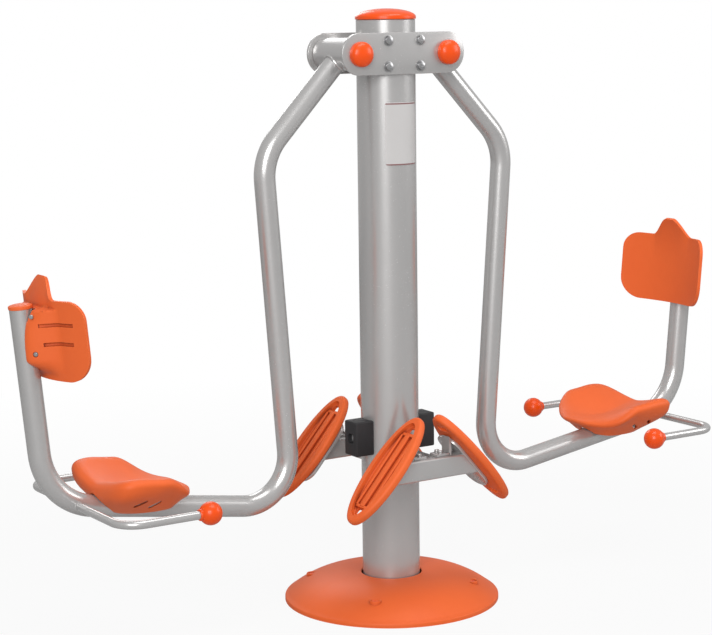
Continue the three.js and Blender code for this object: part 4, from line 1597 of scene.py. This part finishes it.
@dataclass
class HandleRail(Carried):
    """The bent rod that passes through an arm's tube, with a ball on each end."""

    radius: float = 0.0095
    back: float = 0.840
    aside: float = 0.245
    corner: float = 0.055
    weld: float = 0.0022
    ball_radius: float = 0.026
    ball_out: float = 0.632
    collar: Profile = ((0, 0.02), (0.013, 0.02), (0.013, 0.027), (0.012, 0.0285), (0, 0.0285))

    def build(self) -> None:
        """Makes the handle rail and the ball on each of its ends."""
        low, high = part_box(f"{self.side.word}_handle_rail")
        level = (low.z + high.z) / 2
        corners = [
            Corner(out, y * self.aside, level, radius)
            for out, y, radius in ((self.ball_out, -1, 0), (self.back, -1, self.corner),
                                   (self.back, 1, self.corner), (self.ball_out, 1, 0))
        ]
        rail = swept([frame_at(point, along, UP) for point, along in bent(corners)], self.radius, 28)
        for y in (-1, 1):
            rail.join(weld_bead(Vector((self.back, 0, level)), Vector((0, y, 0)), Vector((1, 0, 0)),
                                self.radius, self.arm.tube_radius, self.weld, 48, 8))
        self.arm.put("grip_rail", rail, SILVER, "handle_rail")
        for face in Face:
            ball = Form()
            bmesh.ops.create_uvsphere(ball.mesh, u_segments=48, v_segments=28, radius=self.ball_radius)
            ball.join(turned(self.collar, 32).move(Matrix.Rotation(QUARTER, 4, "Y")))
            aside = face.value * self.side.value * self.aside
            self.arm.put(f"{face.word}_knob", ball.shift(self.ball_out, aside, level), CAP, f"{face.word}_ball")


@dataclass
class Saddle(Carried):
    """The moulded seat on its welded bracket."""

    front: float = 0.580
    length: float = 0.212
    half_width: float = 0.145
    wing: float = 0.048
    wing_start: tuple[float, float] = (-0.9, -0.1)
    wing_fade: tuple[float, float] = (0.35, 1)
    wing_loss: float = 0.1
    wing_power: float = 1.3
    rear_rise: float = 0.024
    rear_start: tuple[float, float] = (-0.3, 1)
    rear_crown: float = 0.45
    wall: float = 0.006
    shell: float = 0.004
    skirt: float = 0.031
    clear: float = 0.003
    over: float = 0.69
    slots: tuple[tuple[float, float], ...] = ((0.693, 0.020), (0.732, 0.029))
    slot_aside: float = 0.108
    slot_half: tuple[float, float, float] = (0.004, 0.03, 0.0145)
    slot_round: float = 0.0035
    slot_lean: float = math.radians(-58)
    bracket_wall: float = 0.005
    bracket_edge: float = 0.0015
    cheek_start: float = 0.640
    cheek_drop: float = 0.002
    cheek_bolts: tuple[float, ...] = (0.655, 0.688)
    cheek_bolt_up: float = 0.014
    cheek_bolt: tuple[float, float, float] = (0.0065, 0.005, 0.0082)
    outline: Profile = (
        (-1.00, 0.00), (-0.99, 0.28), (-0.91, 0.44), (-0.73, 0.68), (-0.50, 0.89), (-0.18, 0.99),
        (0.22, 1.00), (0.62, 0.99), (0.86, 0.92), (0.97, 0.72), (1.00, 0.38), (1.00, 0.00),
    )
    foot: Profile = (
        (-0.58, 0.00), (-0.58, 0.17), (-0.56, 0.31), (-0.50, 0.42), (-0.36, 0.48), (-0.12, 0.50),
        (0.14, 0.48), (0.36, 0.42), (0.52, 0.34), (0.62, 0.24), (0.67, 0.12), (0.68, 0.00),
    )
    rings: tuple[tuple[float, float, float, float], ...] = (
        (0.00, 0.0, 0.0, 0.0), (0.22, 0.0, 0.0, 0.0), (0.45, 0.0, 0.0, 0.0), (0.66, 0.0, 0.0, 0.0),
        (0.84, 0.0, 0.0, 0.0), (0.96, 0.0, 0.0, 0.07), (1.00, 0.06, 0.0, 0.22), (1.00, 0.48, 0.18, 0.52),
        (1.00, 1.0, 1.0, 1.0),
    )

    @cached_property
    def low(self) -> float:
        """The level of the saddle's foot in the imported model."""
        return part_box(f"{self.side.word}_seat")[0].z

    def point(self, rim: Sequence[float], foot: Sequence[float], ring: Sequence[float]) -> Vector:
        """Gives a point of the saddle's outside.

        Args:
            rim: The outline's point, as shares of half the length and width.
            foot: The same point on the skirt's foot.
            ring: Its size as a share, how far nose and rear have drawn in to the foot, and its share of
                the drop.

        Returns:
            The point.
        """
        size, nose, rear, down = ring
        drawn = nose + (rear - nose) * smoothstep(rim[0], -1, 1)
        x, y = (share * size + (low - share * size) * drawn for share, low in zip(rim, foot))
        aside = abs(rim[1] * size)
        along = rim[0] * size
        wings = smoothstep(along, *self.wing_start) * (1 - self.wing_loss * smoothstep(along, *self.wing_fade))
        rise = self.wing * wings * aside ** self.wing_power
        rise += self.rear_rise * smoothstep(along, *self.rear_start) * (1 - self.rear_crown * aside)
        top = self.low + self.skirt + self.wall + rise
        middle = self.front + self.length / 2
        level = top + (self.low - top) * down
        return Vector((middle + x * self.length / 2, y * self.half_width, level))

    def build_shell(self) -> None:
        """Makes the moulded saddle with its slots and the room for the tube."""
        rims, feet = (
            spline([*half, *((x, -y) for x, y in half[-2:0:-1])], 6, closed=True)
            for half in (self.outline, self.foot)
        )
        rings = spline(self.rings, 5, closed=False)

        def place(across: float, along: float) -> Vector:
            """Places a point of the saddle from shares round it and outwards."""
            spoke = round(across * len(rims)) % len(rims)
            return self.point(rims[spoke], feet[spoke], rings[round(along * (len(rings) - 1))])

        level = self.arm.heel.z + (self.over - self.arm.heel.x) * math.tan(self.arm.slope)
        tube = Matrix.Translation((self.over, 0, level)) @ Matrix.Rotation(QUARTER - self.arm.slope, 4, "Y")
        cutters = [rod(self.arm.tube_radius + self.clear, -LONG, LONG, 48).move(tube)]
        for y in (-1, 1):
            for out, up in self.slots:
                half = Vector(self.slot_half)
                slot = box(-half, half, self.slot_round, 3).move(Matrix.Rotation(self.slot_lean, 4, "Y"))
                cutters.append(slot.shift(out, y * self.slot_aside, self.low + up))
        saddle = sheet(len(rims), len(rings) - 1, place).thicken(-self.shell)
        self.arm.put("saddle", carve(saddle, *cutters), ORANGE, "seat")

    def build_bracket(self) -> None:
        """Makes the saddle's bracket: a plate and two cheeks with their cross bolts."""
        low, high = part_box(f"{self.side.word}_seat_bracket")
        near, far = sorted((abs(low.x), abs(high.x)))
        wall, inner = self.bracket_wall, self.arm.tube_radius + GAP
        bracket = box((near, low.y, high.z - wall), (far, high.y, high.z), self.bracket_edge)
        for face in Face:
            inside, outside = sorted((face.value * inner, face.value * (inner + wall)))
            bracket.join(box((self.cheek_start, inside, low.z), (far, outside, high.z - self.cheek_drop),
                             self.bracket_edge))
            for out in self.cheek_bolts:
                bolt = hex_bolt(*self.cheek_bolt).move(to_face(face))
                bracket.join(bolt.shift(out, face.value * (inner + wall), low.z + self.cheek_bolt_up))
        self.arm.put("saddle_bracket", bracket, SILVER, "seat_bracket")

    def build(self) -> None:
        """Makes the saddle and its bracket."""
        self.build_shell()
        self.build_bracket()


@dataclass
class Backrest(Carried):
    """The curved shell behind the user's back, with a peak for the head, and its bracket and screws.

    Its levels are counted from the bracket's middle, along the tube.
    """

    level: float = 0.740
    half_width: float = 0.154
    above: float = 0.081
    below: float = 0.095
    top_corner: float = 0.042
    low_corner: float = 0.056
    wall: float = 0.008
    edge: float = 0.0028
    wrap: float = 0.043
    crowding: float = 0.9
    clear: float = 0.002
    plate: tuple[float, float, float] = (0.005, 0.028, 0.062)
    plate_edge: float = 0.0012
    room: float = 0.08
    boss_half_width: float = 0.0275
    boss_foot: float = 0.088
    boss_above: float = 0.0642
    boss_step: float = 0.003
    boss_below: float = 0.088
    boss_turn_up: float = 0.044
    boss_behind: float = 0.012
    head_foot: float = 0.072
    head_peak: float = 0.012
    head_rise: float = 0.047
    head_lean: float = 0.023
    grooves: tuple[tuple[float, float, float], ...] = ((0.030, 0.0555, 0.124), (-0.0115, 0.060, 0.121))
    groove_radius: float = 0.0043
    groove_floor: float = 0.0008
    screw_levels: dict[str, float] = field(default_factory=lambda: {"high": 0.051, "low": -0.031})
    screw_aside: float = 0.048
    screw: Profile = ((0, 0.0006), (0.0034, 0.0004), (0.0048, -0.0006), (0.005, -0.0022), (0, -0.0022))
    screw_room: tuple[float, float, float] = (0.0062, -0.0022, 0.02)

    def ahead(self, y: float) -> float:
        """How far the backrest's rear face lies in front of the tube's axis at a place across it."""
        share = y / self.half_width
        return self.arm.tube_radius + 2 * GAP + self.plate[0] + self.clear + self.wrap * share * share

    def swell(self, y: float, level: float) -> float:
        """How far the boss stands behind the shell's rear face at a place across and along it.

        Args:
            y: The place across.
            level: Its height from the bracket's middle.

        Returns:
            The distance.
        """
        aside = 1 - smoothstep(abs(y), self.boss_half_width, self.boss_foot)
        low = smoothstep(level, -self.boss_below, -self.boss_turn_up)
        high = 1 - smoothstep(level, self.boss_above - self.boss_step, self.boss_above)
        return (self.ahead(y) + self.boss_behind) * aside * low * high

    def point(self, across: float, along: float) -> Vector:
        """Places a point of the backrest's rear face, without its boss.

        Args:
            across: The share of the width, closer set in the middle.
            along: The share of the height.

        Returns:
            The point.
        """
        spread = QUARTER * self.crowding
        y = self.half_width * math.sin(spread * (2 * across - 1)) / math.sin(spread)
        bump = smoothstep(-abs(y), -self.head_foot, -self.head_peak)
        top, bottom = (corner_drop(abs(y) - (self.half_width - radius), radius)
                       for radius in (self.top_corner, self.low_corner))
        high = self.above - top + self.head_rise * bump
        low = bottom - self.below
        return Vector((-self.ahead(y) - self.head_lean * bump * along ** 5, y, low + (high - low) * along))

    def shell(self) -> Form:
        """Makes the backrest's shell, its rear face swollen to a boss round the tube.

        Returns:
            The shell.
        """
        shell = sheet(88, 64, self.point).thicken(self.wall, Vector((1, 0, 0)))
        shell.soften(self.edge, 4, above=RIM)
        for vert in shell.mesh.verts:
            depth = vert.co.x + self.ahead(vert.co.y)
            share = min(1.0, max(0.0, 1 + depth / self.wall))
            vert.co.x += self.swell(vert.co.y, vert.co.z) * share
        return shell

    def groove(self, y: float, level: float, inner: float, outer: float) -> Form:
        """Makes the cutter of one groove that follows the swollen rear face.

        Args:
            y: The side it is on, as a sign.
            level: Its height from the bracket's middle.
            inner: Where it starts from the middle.
            outer: Where it ends.

        Returns:
            The cutter.
        """
        steps = 14
        points = []
        for step in range(steps + 1):
            reach = inner + (outer - inner) * step / steps
            depth = self.swell(reach, level) - self.ahead(reach) - self.groove_floor
            points.append(Vector((depth, y * reach, level)))
        ways = [(after - before).normalized() for before, after in zip(points, points[1:])]
        ways.append(ways[-1])
        return swept([frame_at(point, way, UP) for point, way in zip(points, ways)], self.groove_radius, 16)

    def on_boss(self, y: float, level: float) -> Matrix:
        """Places Z along the normal of the swollen rear face, where a screw sits.

        Args:
            y: The side it is on, as a sign.
            level: Its height from the bracket's middle.

        Returns:
            The placing.
        """
        step = 0.001
        aside = self.screw_aside
        here, further = (self.swell(out, level) - self.ahead(out) for out in (aside, aside + step))
        normal = Vector((step, y * (here - further), 0)).normalized()
        turn = normal.to_track_quat("Z", "Y").to_matrix().to_4x4()
        return Matrix.Translation((here, y * aside, level)) @ turn

    def build(self) -> None:
        """Makes the backrest's shell with its boss and grooves, its bracket and its screws."""
        out = self.arm.back.x + (self.level - self.arm.back.z) * math.tan(self.arm.lean)
        onto = Matrix.Translation((out, 0, self.level)) @ Matrix.Rotation(self.arm.lean, 4, "Y")
        clear = self.arm.tube_radius + GAP
        wall, half_width, half_height = self.plate
        cutters = [
            rod(clear, -LONG, LONG, 64),
            box((0, -clear, -LONG), (self.room, clear, LONG)),
            box((-clear - wall - GAP, -half_width - GAP, -half_height - GAP),
                (0, half_width + GAP, half_height + GAP)),
        ]
        for y, mark in ((-1, "a"), (1, "b")):
            cutters.extend(self.groove(y, *groove) for groove in self.grooves)
            for word, level in self.screw_levels.items():
                spot = self.on_boss(y, level)
                cutters.append(rod(*self.screw_room, 28).move(spot))
                self.arm.put(f"rest_screw_{word}_{mark}", turned(self.screw, 24).move(onto @ spot), STEEL)
        self.arm.put("back_shell", carve(self.shell(), *cutters).move(onto), ORANGE, "backrest")
        plate = box((-clear - wall, -half_width, -half_height), (-clear, half_width, half_height),
                    self.plate_edge)
        self.arm.put("back_plate", plate.move(onto), SILVER, "backrest_bracket")


@dataclass
class KeptNodes:
    """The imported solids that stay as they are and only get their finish."""

    finishes: tuple[Finish, ...] = (SILVER, ORANGE, CAP, RUBBER, STEEL, LABEL)

    def dress(self, frame: dict) -> None:
        """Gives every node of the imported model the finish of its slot.
        """
        by_slot = {finish.slot.value: finish for finish in self.finishes}
        for part in frame["record"]["subparts"]:
            node = frame["nodes"][part["node"]]
            node.data.materials.clear()
            node.data.materials.append(by_slot[part["material_slot"]].material())


# Studio


@dataclass(frozen=True)
class Lamp:
    """A soft lamp that looks at the object's middle.

    Its azimuth is in degrees from the front towards the right, and its size is its width and height.
    """

    name: str
    azimuth: float
    height: float
    distance: float
    size: tuple[float, float]
    power: float
    aim_level: float = 0.75

    def build(self) -> None:
        """Sets up the lamp."""
        data = bpy.data.lights.new(self.name, "AREA")
        data.shape = "RECTANGLE"
        data.size, data.size_y = self.size
        data.energy = self.power
        lamp = bpy.data.objects.new(self.name, data)
        angle = math.radians(self.azimuth)
        lamp.location = (self.distance * math.sin(angle), -self.distance * math.cos(angle), self.height)
        aim = Vector((0, 0, self.aim_level)) - lamp.location
        lamp.rotation_euler = aim.to_track_quat("-Z", "Y").to_euler()
        bpy.context.scene.collection.objects.link(lamp)


@dataclass
class Studio:
    """The camera where the photograph was taken from, the lamps, the floor and the white surround."""

    azimuth: float = math.radians(-33.77)
    distance: float = 4.6975
    height: float = 1.4266
    lens: float = 99.76
    sensor: float = 36.0
    sight: float = 60.0
    pitch: float = math.radians(8.86)
    roll: float = math.radians(-0.78)
    yaw: float = math.radians(0.96)
    lamps: tuple[Lamp, ...] = (
        Lamp("key", -41, 3.9, 8.0, (3.9, 4.2), 490),
        Lamp("fill", 58, 2.6, 4.6, (2.4, 2.2), 64),
        Lamp("top", 14, 4.2, 0.9, (2.6, 1.8), 60),
        Lamp("rim", 165, 2.6, 3.6, (1.6, 1.6), 26),
    )
    ambient: float = 0.42
    mirrored: float = 0.54
    floor_size: float = 14.0
    floor_grey: float = 0.45
    floor_roughness: float = 0.9
    floor_near: tuple[float, float] = (1.2, 0.92)
    floor_far: tuple[float, float] = (3.0, 1.0)

    def camera(self) -> None:
        """Sets up the camera."""
        x, y = self.distance * math.sin(self.azimuth), -self.distance * math.cos(self.azimuth)
        place = Vector((x, y, self.height))
        heading = self.azimuth + self.yaw
        level = Vector((-math.sin(heading), math.cos(heading), 0))
        right = Vector((math.cos(heading), math.sin(heading), 0))
        ahead = level * math.cos(self.pitch) - UP * math.sin(self.pitch)
        above = UP * math.cos(self.pitch) + level * math.sin(self.pitch)
        across = right * math.cos(self.roll) + above * math.sin(self.roll)
        above = above * math.cos(self.roll) - right * math.sin(self.roll)
        data = bpy.data.cameras.new("camera")
        data.sensor_fit = "HORIZONTAL"
        data.sensor_width = self.sensor
        data.lens = self.lens
        data.clip_end = self.sight
        camera = bpy.data.objects.new("camera", data)
        bpy.context.scene.collection.objects.link(camera)
        turn = Matrix((across, above, -ahead)).transposed().to_4x4()
        camera.matrix_world = Matrix.Translation(place) @ turn
        bpy.context.scene.camera = camera

    def surround(self) -> None:
        """Makes the world white to the eye, greyer in reflections and a soft grey light otherwise."""
        world = bpy.data.worlds.new("surround")
        bpy.context.scene.world = world
        world.use_nodes = True
        tree = Tree(world.node_tree)
        back = world.node_tree.nodes["Background"]
        back.inputs["Color"].default_value = (1, 1, 1, 1)
        path = tree.add("LightPath").outputs
        seen = tree.math("MAXIMUM", path["Is Camera Ray"], path["Is Transmission Ray"])
        mirrored = tree.span(path["Is Glossy Ray"], 0.0, 1.0, self.ambient, self.mirrored)
        world.node_tree.links.new(tree.math("MAXIMUM", seen, mirrored), back.inputs["Strength"])

    def floor(self) -> None:
        """Makes the pale floor, which keeps the object's shadow."""
        form = Form()
        bmesh.ops.create_grid(form.mesh, x_segments=1, y_segments=1, size=self.floor_size / 2)
        item = plain_object(form, "floor")
        material = bpy.data.materials.new("floor_white")
        material.use_nodes = True
        nodes = material.node_tree.nodes
        tree = Tree(material.node_tree)
        shader = nodes["Principled BSDF"]
        shader.inputs["Base Color"].default_value = opaque((self.floor_grey,) * 3)
        shader.inputs["Roughness"].default_value = self.floor_roughness
        glow = tree.add("Emission", None, Color=(1, 1, 1, 1), Strength=1.0)
        seen = tree.add("LightPath").outputs["Is Camera Ray"]
        where = tree.add("TexCoord").outputs["Object"]
        far = tree.add("VectorMath", {"operation": "LENGTH"}, i0=where).outputs["Value"]
        (start, low), (end, high) = self.floor_near, self.floor_far
        share = tree.math("MULTIPLY", seen, tree.span(far, start, end, low, high))
        mixed = tree.add("MixShader", None, i0=share, i1=shader.outputs[0], i2=glow.outputs[0])
        material.node_tree.links.new(mixed.outputs[0], nodes["Material Output"].inputs["Surface"])
        item.data.materials.append(material)

    def build(self) -> None:
        """Sets up the camera, lamps, floor and surround."""
        self.camera()
        for lamp in self.lamps:
            lamp.build()
        self.surround()
        self.floor()
        bpy.context.scene.view_settings.view_transform = "Standard"


def main() -> None:
    """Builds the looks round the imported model."""
    logging.basicConfig(level=logging.INFO, format="%(name)s %(message)s")
    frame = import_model()
    KeptNodes().dress(frame)
    for part in (Studio(), Foot(), Post(), Head(), PedalFrame()):
        part.build()
    for side in Side:
        Bumper(side).build()
        SwingArm(side).build()
    bpy.context.view_layer.update()


if __name__ == "__main__":
    main()
